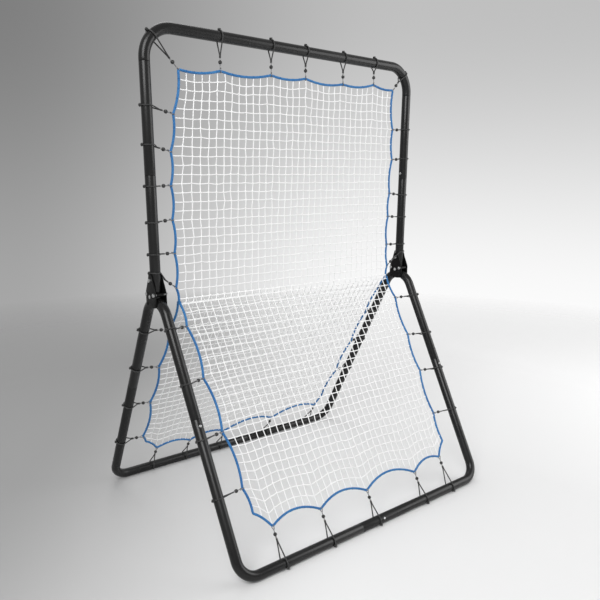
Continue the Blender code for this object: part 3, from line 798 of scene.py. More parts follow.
def cylinder(radius: float, depth: float, matrix: Matrix, sides: int = 24) -> Object:
    """A round cutter or blank, in place.

    Args:
        radius: of the cylinder.
        depth: its length.
        matrix: its place and turn.
        sides: count round it.

    Returns:
        The object.
    """
    work = bmesh.new()
    bmesh.ops.create_cone(work, cap_ends=True, segments=sides, radius1=radius, radius2=radius, depth=depth)
    work.transform(matrix)
    return link(mesh_from(work))


def block(size: Sequence[float], matrix: Matrix) -> Object:
    """A box cutter, in place.

    Args:
        size: its three sides.
        matrix: its place and turn.

    Returns:
        The object.
    """
    work = bmesh.new()
    bmesh.ops.create_cube(work, size=1.0, matrix=Matrix.Diagonal((*size, 1.0)))
    work.transform(matrix)
    return link(mesh_from(work))


def joined(*meshes: Mesh) -> Mesh:
    """Several closed shells as one mesh.

    Args:
        meshes: the shells.

    Returns:
        The mesh.
    """
    work = bmesh.new()
    for mesh in meshes:
        work.from_mesh(mesh)
    return mesh_from(work)


def leg_direction(front: int) -> Vector:
    """Unit vector down a leg; front is -1 for the front frame and 1 for the rear one."""
    return Vector((0, front * sin(LEG_ANGLE), -cos(LEG_ANGLE)))


def foot_corner(side: int, front: int) -> Vector:
    """Where a leg's centre line would meet its foot bar's."""
    return Vector((side * HALF_WIDTH, front * FOOT_SPREAD, RADIUS))


def resampled(points: Sequence[Vector], step: float) -> list[Vector]:
    """Points at even steps along a path.

    Args:
        points: the path.
        step: the distance between two points, at most.

    Returns:
        The new points.
    """
    line = np.array(points)
    along = np.concatenate([[0.0], np.cumsum(np.linalg.norm(np.diff(line, axis=0), axis=1))])
    places = np.linspace(0.0, along[-1], int(along[-1] / step) + 1)
    return [Vector(row) for row in np.stack([np.interp(places, along, line[:, k]) for k in range(3)], axis=1)]


class Shapes:
    """The node trees, and the meshes that are made with them."""

    def __init__(self) -> None:
        """Builds the trees."""
        self.cord = cord_tree()
        self.net = net_tree()
        self.copies = copies_tree()

    def cords(self, paths: Iterable[Sequence[Vector]], radius: float, sides: int,
              material: Optional[Material], **options: object) -> Mesh:
        """Round cords along paths.

        Args:
            paths: points of each cord.
            radius: of the cords.
            sides: count round each cord.
            material: their finish.
            options: closed, widths, caps, strands, pitch and relief.

        Returns:
            The cords' mesh.
        """
        obj = link(path_mesh(paths, bool(options.get("closed")), options.get("widths")))
        values = {label: float(options.get(label.lower(), usual))
                  for label, usual in (("Strands", 0), ("Pitch", 1), ("Relief", 0))}
        add_tree(obj, self.cord, Radius=radius, Sides=sides, Caps=bool(options.get("caps", True)),
                 Material=material, **values)
        return evaluated(obj)

    def repeat(self, piece: Mesh, spots: Iterable[Spot], material: Material) -> Mesh:
        """Copies of one piece.

        Args:
            piece: the mesh that is repeated, made round the origin.
            spots: place, facing and sideways of each copy.
            material: their finish.

        Returns:
            The copies' mesh.
        """
        pattern, obj = link(piece), link(point_mesh(spots))
        add_tree(obj, self.copies, Piece=pattern, Material=material)
        made = evaluated(obj)
        discard(pattern)
        return made

    def knot(self, cord: float, size: float, points: int, sides: int) -> Mesh:
        """An overhand knot pulled into a lump, round the origin.

        Args:
            cord: the cord's radius.
            size: half the width of the cord's route.
            points: count along the route.
            sides: count round the cord.

        Returns:
            The knot's mesh.
        """
        thickness = 1.6
        route = []
        for k in range(points):
            t = 2 * pi * k / points
            turn = Vector((sin(t) + 2 * sin(2 * t), cos(t) - 2 * cos(2 * t), -thickness * sin(3 * t)))
            route.append(turn * size / 3)
        return self.cords([route], cord, sides, None, closed=True, caps=False)

    def ring(self, cord: float, radius: float, points: int, sides: int) -> Mesh:
        """A turn of cord round the Z axis.

        Args:
            cord: the cord's radius.
            radius: of the turn.
            points: count along the turn.
            sides: count round the cord.

        Returns:
            The turn's mesh.
        """
        angles = [2 * pi * k / points for k in range(points)]
        route = [Vector((cos(angle), sin(angle), 0)) * radius for angle in angles]
        return self.cords([route], cord, sides, None, closed=True, caps=False)


# Frame tubes

@dataclass
class FrameTubes:
    """The steel tubes: hollow, and drawn down at one end where they slide into the next."""

    shapes: Shapes
    finish: Material
    sides: int = 40
    rounding: float = 0.0007
    neck: float = (RADIUS - TUBE_WALL - 0.0003) / RADIUS
    taper: float = 0.0018
    joint_gap: float = 0.0003
    screw_setback: float = 0.025
    foot_screw_setback: float = 0.115
    screw_radius: float = 0.0029
    pin_radius: float = 0.0044
    screw_turn: tuple[float, float, float] = (0.3, 0.5, 0.8)
    arch_steps: int = 18
    screws: dict[Body, list[Spot]] = field(default_factory=lambda: {body: [] for body in Body})
    cutters: list[Object] = field(default_factory=list)

    def dressed_ends(self, points: Sequence[Vector], neck_at_end: float,
                     neck_at_start: float) -> tuple[list[Vector], list[float]]:
        """Adds a rounded lip at each plain end and a neck at each drawn one.

        Args:
            points: the tube's centre line.
            neck_at_end: length of the neck past the last point, or 0.
            neck_at_start: length of the neck before the first point, or 0.

        Returns:
            The points and the share of the full radius at each.
        """
        route = list(points)
        widths = [1.0] * len(route)
        for neck in (neck_at_end, neck_at_start):
            end, inward = route[-1], (route[-2] - route[-1]).normalized()
            if neck:
                route[-1:] = [end + inward * self.taper, end + inward * self.taper * 0.4, end,
                              end - inward * (neck - self.rounding), end - inward * neck]
                widths[-1:] = [1.0, 0.985, self.neck, self.neck, self.neck * 0.97]
            else:
                route[-1:] = [end + inward * self.rounding, end + inward * self.rounding * 0.3, end]
                widths[-1:] = [1.0, 0.992, 0.975]
            route.reverse()
            widths.reverse()
        return route, widths

    def tube(self, name: str, node: str, body: Body, points: Sequence[Vector],
             cutters: list[Object], neck_at_end: float = 0.0, neck_at_start: float = 0.0) -> None:
        """Makes one tube and puts it in the scene.

        Args:
            name: the piece's name.
            node: the CAD node that it stands for.
            body: the body that it rides on.
            points: its centre line.
            cutters: what is cut out of it.
            neck_at_end: length of the neck past the last point, or 0.
            neck_at_start: length of the neck before the first point, or 0.
        """
        route, widths = self.dressed_ends(points, neck_at_end, neck_at_start)
        obj = link(self.shapes.cords([route], RADIUS, self.sides, self.finish, widths=widths, caps=False))
        wall = obj.modifiers.new("wall", "SOLIDIFY")
        wall.thickness = TUBE_WALL
        wall.offset = -1
        wall.use_even_offset = True
        for cutter in cutters:
            boolean(obj, cutter)
        self.cutters += [cutter for cutter in cutters if cutter not in self.cutters]
        mesh = evaluated(obj)
        smooth_by_angle(mesh)
        Piece(name, mesh, body, (node,), "powder_coat").add()

    def screw_hole(self, body: Body, centre: Vector, outward: Vector) -> Object:
        """Notes a joint screw's place and makes the cutter of its hole.

        Args:
            body: the body that the screw rides on.
            centre: a place on the tube's centre line.
            outward: the way that the screw's head faces.

        Returns:
            The cutter.
        """
        head = centre + outward * (RADIUS + self.joint_gap)
        self.screws[body].append((head, outward, Vector(self.screw_turn)))
        turn = outward.to_track_quat("Z", "Y").to_matrix().to_4x4()
        place = Matrix.Translation(centre + outward * (RADIUS - TUBE_WALL)) @ turn
        return cylinder(self.screw_radius, 8 * TUBE_WALL, place)

    def upper_tubes(self) -> None:
        """The rail with both corners, and two side tubes on each side."""
        corners = [(-HALF_WIDTH, 0, RAIL_JOINT), (-HALF_WIDTH, 0, RAIL_HEIGHT),
                   (HALF_WIDTH, 0, RAIL_HEIGHT), (HALF_WIDTH, 0, RAIL_JOINT)]
        self.tube("rail", "upper_rail", Body.UPPER, rounded_path(corners, [RAIL_BEND] * 2), [],
                  neck_at_end=SPIGOT_LENGTH, neck_at_start=SPIGOT_LENGTH)
        for word, side in SIDES:
            x = side * HALF_WIDTH
            hole = self.screw_hole(Body.UPPER, Vector((x, 0, UPPER_JOINT + self.screw_setback)),
                                   Vector((-side, 0, 0)))
            across = Matrix.Rotation(pi / 2, 4, "Y")
            clamps = [cylinder(self.pin_radius, 4 * RADIUS,
                               Matrix.Translation((x, 0, ARCH_HEIGHT + height)) @ across)
                      for height in CLAMP_HEIGHTS]
            self.tube("side_%s_upper_tube" % word, "upper_side_tube_" + word, Body.UPPER,
                      [Vector((x, 0, UPPER_JOINT)), Vector((x, 0, RAIL_JOINT - self.joint_gap))], [hole])
            self.tube("side_%s_lower_tube" % word, "lower_side_tube_" + word, Body.UPPER,
                      [Vector((x, 0, ARCH_HEIGHT - RADIUS)), Vector((x, 0, UPPER_JOINT - self.joint_gap))],
                      [hole] + clamps, neck_at_end=SPIGOT_LENGTH)

    def stop_cutters(self, side: int, front: int) -> list[Object]:
        """Cutters of a leg top: its two stop flats and its pivot hole.

        Args:
            side: -1 for left and 1 for right.
            front: -1 for the front frame and 1 for the rear one.

        Returns:
            The cutters.
        """
        pivot = Vector((side * HALF_WIDTH, front * PIVOT_OFFSET, PIVOT_HEIGHT))
        size = 4 * RADIUS
        reach = PIVOT_OFFSET - RADIUS - STOP_GAP
        shift = Matrix.Translation((0, -front * (reach + size / 2), 0))
        there = Matrix.Translation(pivot)
        flats = [block([size] * 3, there @ Matrix.Rotation(turn, 4, "X") @ shift)
                 for turn in (0.0, front * FOLD_ANGLE)]
        return flats + [cylinder(self.pin_radius, size, there @ Matrix.Rotation(pi / 2, 4, "Y"))]

    def leg_frame(self, word: str, front: int, body: Body) -> None:
        """Two legs with bent tops, and the foot bar in two halves.

        Args:
            word: front or rear.
            front: -1 for the front frame and 1 for the rear one.
            body: the body that it rides on.
        """
        down = leg_direction(front)
        outward = Vector((0, front * cos(LEG_ANGLE), sin(LEG_ANGLE)))
        bar_joint = front * FOOT_JOINT_OFFSET
        first = asin(RADIUS / 2 / LEG_BEND)
        last = pi / 2 - LEG_ANGLE
        steps = self.arch_steps
        bar_middle = Vector((bar_joint - front * self.foot_screw_setback, front * FOOT_SPREAD, RADIUS))
        bar_hole = self.screw_hole(body, bar_middle, outward)
        for side_word, side in SIDES:
            corner = foot_corner(side, front)
            joint = corner - down * LEG_JOINT_DISTANCE
            hole = self.screw_hole(body, joint + down * self.screw_setback, outward)
            angles = [first + (last - first) * k / steps for k in range(steps + 1)]
            x = side * HALF_WIDTH
            arch = [Vector((x, front * LEG_BEND * sin(angle), ARCH_CENTRE + LEG_BEND * cos(angle)))
                    for angle in angles]
            self.tube("leg_%s_%s" % (word, side_word), "%s_leg_%s" % (word, side_word), body, arch + [joint],
                      [hole] + self.stop_cutters(side, front), neck_at_end=SPIGOT_LENGTH)
            drawn = side == front
            bar_end = Vector((bar_joint if drawn else bar_joint - front * self.joint_gap, corner.y, RADIUS))
            route = rounded_path([joint + down * self.joint_gap, corner, bar_end], [FOOT_BEND])
            self.tube("foot_%s_%s" % (word, side_word), "%s_foot_bar_%s" % (word, side_word), body, route,
                      [hole, bar_hole], neck_at_end=FOOT_SPIGOT_LENGTH if drawn else 0.0)

    def build(self) -> None:
        """Makes every tube."""
        self.upper_tubes()
        self.leg_frame("front", -1, Body.FRONT)
        self.leg_frame("rear", 1, Body.REAR)
        discard(*self.cutters)


# Hinges

@dataclass
class HingePlates:
    """The shield-shaped plates that hold the side tube and both leg tops between them."""

    finish: Material
    edge: float = 0.0006
    bottom: float = 0.014
    tip_half: float = 0.010
    shoulder_half: float = 0.015
    shoulder: float = 0.084
    widest: float = 0.040
    spacer_offset: float = 0.0265
    spacer_height: float = 0.030
    pivot_margin: float = 0.010
    spacer_margin: float = 0.0095
    corner_bends: tuple[float, ...] = (0.008, 0.018, 0.020, 0.006)
    hole: float = 0.0043
    hole_sides: int = 24

    def outline(self) -> list[Vector]:
        """The plate's outline, x across and y up from the leg tops.

        Returns:
            The outline's points.
        """
        half = [(PIVOT_OFFSET + self.pivot_margin, -self.bottom),
                (self.spacer_offset + self.spacer_margin, self.widest),
                (self.shoulder_half, self.shoulder), (self.tip_half, PLATE_TOP)]
        corners = [Vector((*point, 0)) for point in half + [(-across, up) for across, up in reversed(half)]]
        bends = self.corner_bends + self.corner_bends[::-1]
        count = len(corners)
        loop = []
        for k, bend in enumerate(bends):
            back = corners[k].lerp(corners[k - 1], 0.5)
            ahead = corners[k].lerp(corners[(k + 1) % count], 0.5)
            loop += rounded_path([back, corners[k], ahead], [bend], 8)[1:-1]
        return loop

    def ring(self, across: float, up: float) -> list[Vector]:
        """The edge of a bolt hole."""
        angles = [2 * pi * k / self.hole_sides for k in range(self.hole_sides)]
        return [Vector((across + self.hole * cos(a), up + self.hole * sin(a), 0)) for a in angles]

    def blank(self) -> Mesh:
        """One plate with its holes and rounded edges, in its own plane.

        Returns:
            The plate's mesh.
        """
        curve = bpy.data.curves.new("plate", "CURVE")
        curve.dimensions = "2D"
        curve.fill_mode = "BOTH"
        curve.extrude = PLATE_THICKNESS / 2 - self.edge
        curve.bevel_depth = self.edge
        curve.bevel_resolution = 2
        curve.offset = -self.edge
        holes = [(0, up) for up in CLAMP_HEIGHTS]
        for way in (-1, 1):
            holes += [(way * self.spacer_offset, self.spacer_height),
                      (way * PIVOT_OFFSET, PIVOT_HEIGHT - ARCH_HEIGHT)]
        for loop in [self.outline()] + [self.ring(*hole) for hole in holes]:
            spline = curve.splines.new("POLY")
            spline.points.add(len(loop) - 1)
            for point, place in zip(spline.points, loop):
                point.co = (*place, 1)
            spline.use_cyclic_u = True
        return evaluated(link(curve))

    def build(self) -> None:
        """Puts a plate on each face of each side's tubes."""
        blank = self.blank()
        upright = Matrix(((0, 0, 1, 0), (1, 0, 0, 0), (0, 1, 0, 0), (0, 0, 0, 1)))
        for word, side in SIDES:
            for face_word, face in (("outer", side), ("inner", -side)):
                x = side * HALF_WIDTH + face * (PLATE_FACE - PLATE_THICKNESS / 2)
                work = bmesh.new()
                work.from_mesh(blank)
                work.transform(Matrix.Translation((x, 0, ARCH_HEIGHT)) @ upright)
                clean(work)
                mesh = mesh_from(work)
                smooth_by_angle(mesh)
                mesh.materials.append(self.finish)
                Piece("plate_%s_%s" % (word, face_word), mesh, Body.UPPER,
                      ("hinge_plate_%s_%s" % (word, face_word),), "plate_coat").add()


@dataclass
class Fasteners:
    """Hinge bolts and nuts, riveted pivot pins, and the screws of the tube joints."""

    shapes: Shapes
    zinc: Material
    dark: Material
    plates: HingePlates
    screws: dict[Body, list[Spot]]
    seat: float = PLATE_FACE + 0.0003
    across: float = 0.013
    chamfer: float = 0.96
    head: float = 0.0053
    nut: float = 0.0065
    bolt_radius: float = 0.004
    past_nut: float = 0.0015
    thread: float = 0.00125
    root: float = 0.87
    pin_head: float = 0.0065
    pin_dome: float = 0.0022
    screw_head: float = 0.005
    screw_dome: float = 0.0025
    screw_depth: float = 0.004
    recess: tuple[float, float] = (0.0012, 0.0026)
    sleeve: float = 0.0062
    sleeve_edge: float = 0.0006
    sleeve_inset: float = 0.0055

    def hexagon(self, height: float, both_faces: bool) -> Mesh:
        """A hexagon with its corners turned off, from the seat at the origin up.

        Args:
            height: of the hexagon.
            both_faces: whether the seat's corners are turned off too.

        Returns:
            The mesh.
        """
        corner = self.across / 2 / cos(pi / 6)
        face = self.across / 2 * self.chamfer
        drop = (corner - face) * tan(radians(30))
        outside = corner * 1.01
        foot = [(face, 0.0)] if both_faces else []
        profile = [(0.0, height), (face, height), (outside, height - drop),
                   (outside, drop if both_faces else 0.0)] + foot + [(0.0, 0.0)]
        obj = cylinder(corner, height, Matrix.Translation((0, 0, height / 2)), 6)
        cap = link(turned_mesh(profile, 48))
        boolean(obj, cap, "INTERSECT")
        made = evaluated(obj)
        discard(cap)
        smooth_by_angle(made, 20)
        return made

    @staticmethod
    def dome(radius: float, height: float, steps: int, seat: float = 0.0) -> Pairs:
        """A dome's profile, from its top to its edge."""
        angles = [k * pi / (2 * steps) for k in range(steps + 1)]
        return [(radius * sin(a), seat + height * cos(a)) for a in angles]

    def bolt(self) -> Mesh:
        """A hexagon bolt, its head's seat at the origin and its threaded shank down.

        Returns:
            The mesh.
        """
        length = 2 * self.seat + self.nut + self.past_nut
        radius = self.bolt_radius
        shank = [(0.0, -length), (radius * 0.8, -length)]
        turns = ceil((self.nut + 3 * self.past_nut) / self.thread)
        for k in range(turns):
            height = -length + self.thread * (k + 0.5)
            shank += [(radius, height), (radius * self.root, height + self.thread / 2)]
        shank += [(radius, -length + self.thread * (turns + 0.5)), (radius, 0.0), (0.0, 0.0)]
        return joined(self.hexagon(self.head, False), turned_mesh(shank, 20))

    def rivet(self) -> Mesh:
        """A pivot pin domed at both ends, centred on the tube."""
        half = self.dome(self.pin_head, self.pin_dome, 6, self.seat) + [(self.bolt_radius, self.seat)]
        return turned_mesh(half + [(r, -z) for r, z in reversed(half)], 28)

    def screw(self) -> Mesh:
        """A domed screw with a cross recess, its seat at the origin.

        Returns:
            The mesh.
        """
        shank = self.screw_head * 0.5
        profile = self.dome(self.screw_head, self.screw_dome, 7)
        profile += [(shank, 0.0), (shank, -self.screw_depth), (0.0, -self.screw_depth)]
        obj = link(turned_mesh(profile, 28))
        lift = Matrix.Translation((0, 0, self.screw_dome))
        slots = [block((self.screw_head, *self.recess), lift @ Matrix.Rotation(angle, 4, "Z"))
                 for angle in (0.0, pi / 2)]
        for cutter in slots:
            boolean(obj, cutter)
        made = evaluated(obj)
        discard(*slots)
        smooth_by_angle(made, 30)
        return made

    def add(self, name: str, piece: Mesh, spots: Sequence[Spot], body: Body, nodes: Sequence[str],
            dark: bool = False) -> None:
        """Adds copies of a fastener as one piece.

        Args:
            name: the piece's name.
            piece: the mesh that is copied, made round the origin.
            spots: place, facing and sideways of each copy.
            body: the body that they ride on.
            nodes: the CAD nodes that they stand for.
            dark: whether they are black rather than zinc.
        """
        mesh = self.shapes.repeat(piece, spots, self.dark if dark else self.zinc)
        Piece(name, mesh, body, nodes, "plate_coat" if dark else "zinc").add()

    def add_fours(self, name: str, piece: Mesh, node: str, offset: float, height: float) -> None:
        """Adds a dark piece in front of and behind the tube on each side.

        Args:
            name: the piece's name.
            piece: its mesh, made round the origin.
            node: the CAD nodes' name, with places for the side and the frame.
            offset: distance in front of and behind the tube.
            height: above the floor.
        """
        spots, nodes = [], []
        for word, side in SIDES:
            for frame_word, front in FRAMES:
                centre = Vector((side * HALF_WIDTH, front * offset, height))
                spots.append((centre, Vector((side, 0, 0)), Vector((0, 1, 0))))
                nodes.append(node % (word, frame_word))
        self.add(name, piece, spots, Body.UPPER, nodes, dark=True)

    def build_sleeves(self) -> None:
        """Puts a tube round each spacer bolt, between the plates."""
        half = PLATE_FACE - PLATE_THICKNESS - self.sleeve_inset
        bore = self.bolt_radius + 0.0002
        edge = self.sleeve - self.sleeve_edge
        profile = [(bore, half), (edge, half), (self.sleeve, half - self.sleeve_edge),
                   (self.sleeve, self.sleeve_edge - half), (edge, -half), (bore, -half), (bore, half)]
        self.add_fours("spacer_sleeves", turned_mesh(profile, 28), "spacer_%s_%s_bolt",
                       self.plates.spacer_offset, ARCH_HEIGHT + self.plates.spacer_height)

    def build(self) -> None:
        """Places every fastener."""
        offset, height = self.plates.spacer_offset, self.plates.spacer_height
        spots = [("clamp_%s_lower", 0.0, CLAMP_HEIGHTS[0]), ("clamp_%s_upper", 0.0, CLAMP_HEIGHTS[1]),
                 ("spacer_%s_front", -offset, height), ("spacer_%s_rear", offset, height)]
        for kind, piece, way in (("bolt", self.bolt(), 1), ("nut", self.hexagon(self.nut, True), -1)):
            places, nodes = [], []
            for word, side in SIDES:
                for index, (name, y, up) in enumerate(spots):
                    facing = Vector((side * way, 0, 0))
                    turn = radians(17 + 41 * index + 23 * side)
                    centre = Vector((side * HALF_WIDTH, y, ARCH_HEIGHT + up)) + facing * self.seat
                    places.append((centre, facing, Vector((0, cos(turn), sin(turn)))))
                    nodes.append(name % word + "_" + kind)
            self.add("hinge_%ss" % kind, piece, places, Body.UPPER, nodes)
        self.build_sleeves()
        self.add_fours("pivot_rivets", self.rivet(), "pivot_pin_%s_%s", PIVOT_OFFSET, PIVOT_HEIGHT)
        screw = self.screw()
        for body, word, ends in ((Body.UPPER, "side", "side"), (Body.FRONT, "front", "front_leg"),
                                 (Body.REAR, "rear", "rear_leg")):
            nodes = ["%s_joint_screw_%s" % (ends, side) for side, _ in SIDES]
            if body is not Body.UPPER:
                nodes.append(word + "_foot_joint_screw")
            self.add("joint_screws_" + word, screw, self.screws[body], body, nodes)


# Nets, ropes and ties

def scalloped(stations: Pairs, at: float, slack: float) -> float:
    """Height of a tied edge at a place along it.

    Args:
        stations: place and height of each tie, in order.
        at: the place.
        slack: sag between two ties, as a share of their distance.

    Returns:
        The height, drawn in between the ties.
    """
    for (start, low), (end, high) in zip(stations, stations[1:]):
        if at <= end:
            break
    share = min(max((at - start) / (end - start), 0.0), 1.0)
    return low + (high - low) * share - 4 * slack * (end - start) * share * (1 - share)


@dataclass
class Tie:
    """One tie: where it meets the rope, and the tube that it goes round."""

    hook: Vector
    centre: Vector
    axis: Vector


@dataclass
class Panel:
    """One net's outline in its own plane: x across, and reach outward from the seam.

    The left and right stations are reach and x, and the far stations are x and reach.
    """

    word: str
    body: Body
    seam: Vector
    outward: Vector
    left: Pairs
    right: Pairs
    far: Pairs
    far_slack: float
    rows: int
    columns: int = 34
    side_slack: float = 0.070
    seam_shift: float = -0.002
    ties: list[Tie] = field(default_factory=list)
    rim_fade: float = 8.0
    side_fade: float = 16.0

    def point(self, x: float, reach: float) -> Vector:
        """A place of the panel in the scene."""
        return self.seam + Vector((x, 0, 0)) + self.outward * reach

    @property
    def normal(self) -> Vector:
        """The panel's outer face."""
        return Vector((1, 0, 0)).cross(self.outward)

    def tie(self, x: float, reach: float, centre: Sequence[float], axis: Sequence[float]) -> None:
        """Ties a place of the panel to the tube with this centre and axis."""
        self.ties.append(Tie(self.point(x, reach), Vector(centre), Vector(axis)))

    def side(self, left: bool) -> Pairs:
        """One side's stations."""
        return self.left if left else self.right

    def edge(self, left: bool, share: float) -> Vector:
        """A place on a side edge.

        Args:
            left: whether it is the left side.
            share: how far outward, from 0 to 1.

        Returns:
            Its x and reach.
        """
        stations = self.side(left)
        reach = stations[-1][0] * share
        x = scalloped(stations, reach, self.side_slack)
        return Vector((-x if left else x, reach))

    def rim(self, share: float) -> Vector:
        """A place on the far edge.

        Args:
            share: how far along, left to right.

        Returns:
            Its x and reach.
        """
        first, last = self.far[0][0], self.far[-1][0]
        x = first + (last - first) * share
        return Vector((x, scalloped(self.far, x, self.far_slack)))

    def chord(self, left: bool, v: float) -> Vector:
        """A place on the straight line between a side's two ends.

        Args:
            left: whether it is the left side.
            v: how far outward, from 0 to 1.

        Returns:
            Its x and reach.
        """
        foot, corner = self.side(left)[0], self.side(left)[-1]
        x = foot[1] + (corner[1] - foot[1]) * v
        return Vector((-x if left else x, corner[0] * v))

    def spot(self, u: float, v: float) -> Vector:
        """A place of the net's patch, where the edges' scallops fade towards the middle.

        Args:
            u: how far across, from 0 to 1.
            v: how far outward, from 0 to 1.

        Returns:
            Its x and reach.
        """
        place = self.chord(True, v).lerp(self.chord(False, v), u)
        top = self.chord(True, 1.0).lerp(self.chord(False, 1.0), u)
        rise = self.rim(u) - top
        place += rise * v ** self.rim_fade
        for left, share in ((True, 1 - u), (False, u)):
            place += (self.edge(left, v) - self.chord(left, v)) * share ** self.side_fade
        return place


@dataclass(frozen=True)
class Lacing:
    """How one side or end of a net was tied: each tie's gap to its tube, drift and lift along it."""

    gaps: tuple[float, ...]
    drifts: tuple[float, ...]
    lifts: tuple[float, ...]

    def stations(self, first: float, last: float, corner: tuple[float, float]) -> Pairs:
        """Reach and x of the seam's end, of each tie and of the corner.

        Args:
            first: the first tie's reach without its drift.
            last: the last tie's reach without its drift.
            corner: the corner's reach and x.

        Returns:
            The side's stations.
        """
        pitch = (last - first) / (len(self.gaps) - 1)
        ties = [(first + pitch * k + drift, HALF_WIDTH - gap)
                for k, (gap, drift) in enumerate(zip(self.gaps, self.drifts))]
        return [(0.0, HALF_WIDTH - NET_SIDE_GAP)] + ties + [corner]


def upper_panel() -> Panel:
    """The upright net between the side tubes and the rail, as it hangs in the photograph.

    Returns:
        The panel with its ties.
    """
    laced = (
        Lacing((0.080, 0.080, 0.077, 0.077, 0.082, 0.098),
               (-0.011, -0.003, -0.003, -0.004, -0.008, -0.002),
               (0.0, 0.0, -0.008, -0.003, 0.019, 0.020)),
        Lacing((0.083, 0.092, 0.090, 0.086, 0.078, 0.082),
               (-0.012, -0.031, -0.021, -0.035, -0.005, 0.005),
               (0.013, -0.002, -0.004, -0.008, 0.007, 0.006)))
    corner_gaps, corner_droops = (0.124, 0.090), (-0.013, 0.015)
    rail_shares, rail_droops = (-0.664, -0.232, 0.091, 0.475, 0.819), (-0.009, 0.0, 0.005, 0.003, 0.018)
    seam = Vector((0, 0, ARCH_HEIGHT + UPPER_NET_FOOT))
    base = RAIL_HEIGHT - RAIL_CORNER_GAP - seam.z
    corners = [(base + droop, HALF_WIDTH - gap) for gap, droop in zip(corner_gaps, corner_droops)]
    left, right = [lacing.stations(UPPER_FIRST_TIE, base - UPPER_LAST_TIE, corner)
                   for lacing, corner in zip(laced, corners)]
    rail = [((HALF_WIDTH - NET_CORNER_GAP) * share, RAIL_HEIGHT - RAIL_NET_GAP - seam.z + droop)
            for share, droop in zip(rail_shares, rail_droops)]
    far = [(-corners[0][1], corners[0][0])] + rail + [(corners[1][1], corners[1][0])]
    panel = Panel("upper", Body.UPPER, seam, Vector((0, 0, 1)), left, right, far, 0.060, 25)
    bend = RAIL_BEND * (1 - sqrt(0.5))
    lowest = ARCH_HEIGHT + PLATE_TOP + 2 * ELASTIC
    for (_, sign), lacing, side in zip(SIDES, laced, (left, right)):
        for (reach, x), lift in zip(side[1:-1], lacing.lifts):
            height = max(seam.z + reach + lift, lowest)
            panel.tie(sign * x, reach, (sign * HALF_WIDTH, 0, height), (0, 0, 1))
        panel.tie(sign * side[-1][1], side[-1][0], (sign * (HALF_WIDTH - bend), 0, RAIL_HEIGHT - bend),
                  Vector((-sign, 0, 1)).normalized())
    for x, reach in rail:
        panel.tie(x, reach, (x, 0, RAIL_HEIGHT), (1, 0, 0))
    return panel


def lower_panel(word: str, front: int, body: Body) -> Panel:
    """The sloping net between a pair of legs and their foot bar, as it hangs in the photograph.

    Args:
        word: front or rear.
        front: -1 for the front frame and 1 for the rear one.
        body: the leg frame.

    Returns:
        The panel with its ties.
    """
    if body is Body.FRONT:
        laced = (
            Lacing((0.088, 0.090, 0.098, 0.108), (-0.003, -0.004, -0.003, 0.004), (0.006, 0.0, 0.0, 0.0)),
            Lacing((0.080, 0.088, 0.096, 0.110), (0.010, -0.008, -0.034, -0.032), (0.008, 0.0, 0.0, 0.0)))
        shares, rises = (-0.883, -0.455, 0.011, 0.555, 0.889), (-0.008, 0.0, 0.001, 0.006, -0.015)
    else:
        laced = (
            Lacing((0.081, 0.081, 0.085, 0.096), (0.036, 0.029, 0.034, 0.055), (0.0, 0.0, 0.0, 0.0)),
            Lacing((0.098, 0.100, 0.098, 0.102), (-0.034, -0.085, -0.095, -0.090), (0.0, 0.0, 0.0, 0.0)))
        shares, rises = (-0.868, -0.535, -0.160, 0.400, 0.960), (-0.004, 0.006, 0.008, 0.008, 0.0)
    seam = Vector((0, front * SEAM_OFFSET, ARCH_HEIGHT - LOWER_NET_TOP))
    foot = Vector((0, front * FOOT_SPREAD, RADIUS))
    length = (foot - seam).length
    outward = (foot - seam).normalized()
    corner = (length - BAR_CORNER_GAP, HALF_WIDTH - NET_CORNER_GAP)
    left, right = [lacing.stations(LOWER_FIRST_TIE, corner[0] - LOWER_LAST_TIE, corner) for lacing in laced]
    bar = [(corner[1] * share, length - BAR_NET_GAP + rise) for share, rise in zip(shares, rises)]
    far = [(-corner[1], corner[0])] + bar + [(corner[1], corner[0])]
    panel = Panel(word, body, seam, outward, left, right, far, 0.145, 26)
    down = leg_direction(front)
    for (_, sign), lacing, side in zip(SIDES, laced, (left, right)):
        for (reach, x), lift in zip(side[1:-1], lacing.lifts):
            height = seam.z + outward.z * reach + lift
            panel.tie(sign * x, reach, foot_corner(sign, front) - down * (height - RADIUS) / -down.z, down)
    for x, reach in bar:
        panel.tie(x, reach, (x, foot.y, foot.z), (1, 0, 0))
    return panel


def softened(points: list[Vector], passes: int) -> list[Vector]:
    """Points with their corners eased, the ends kept.

    Args:
        points: the path.
        passes: how often it is eased.

    Returns:
        The eased path.
    """
    for _ in range(passes):
        middle = [(a + b * 2 + c) / 4 for a, b, c in zip(points, points[1:], points[2:])]
        points = [points[0]] + middle + [points[-1]]
    return points


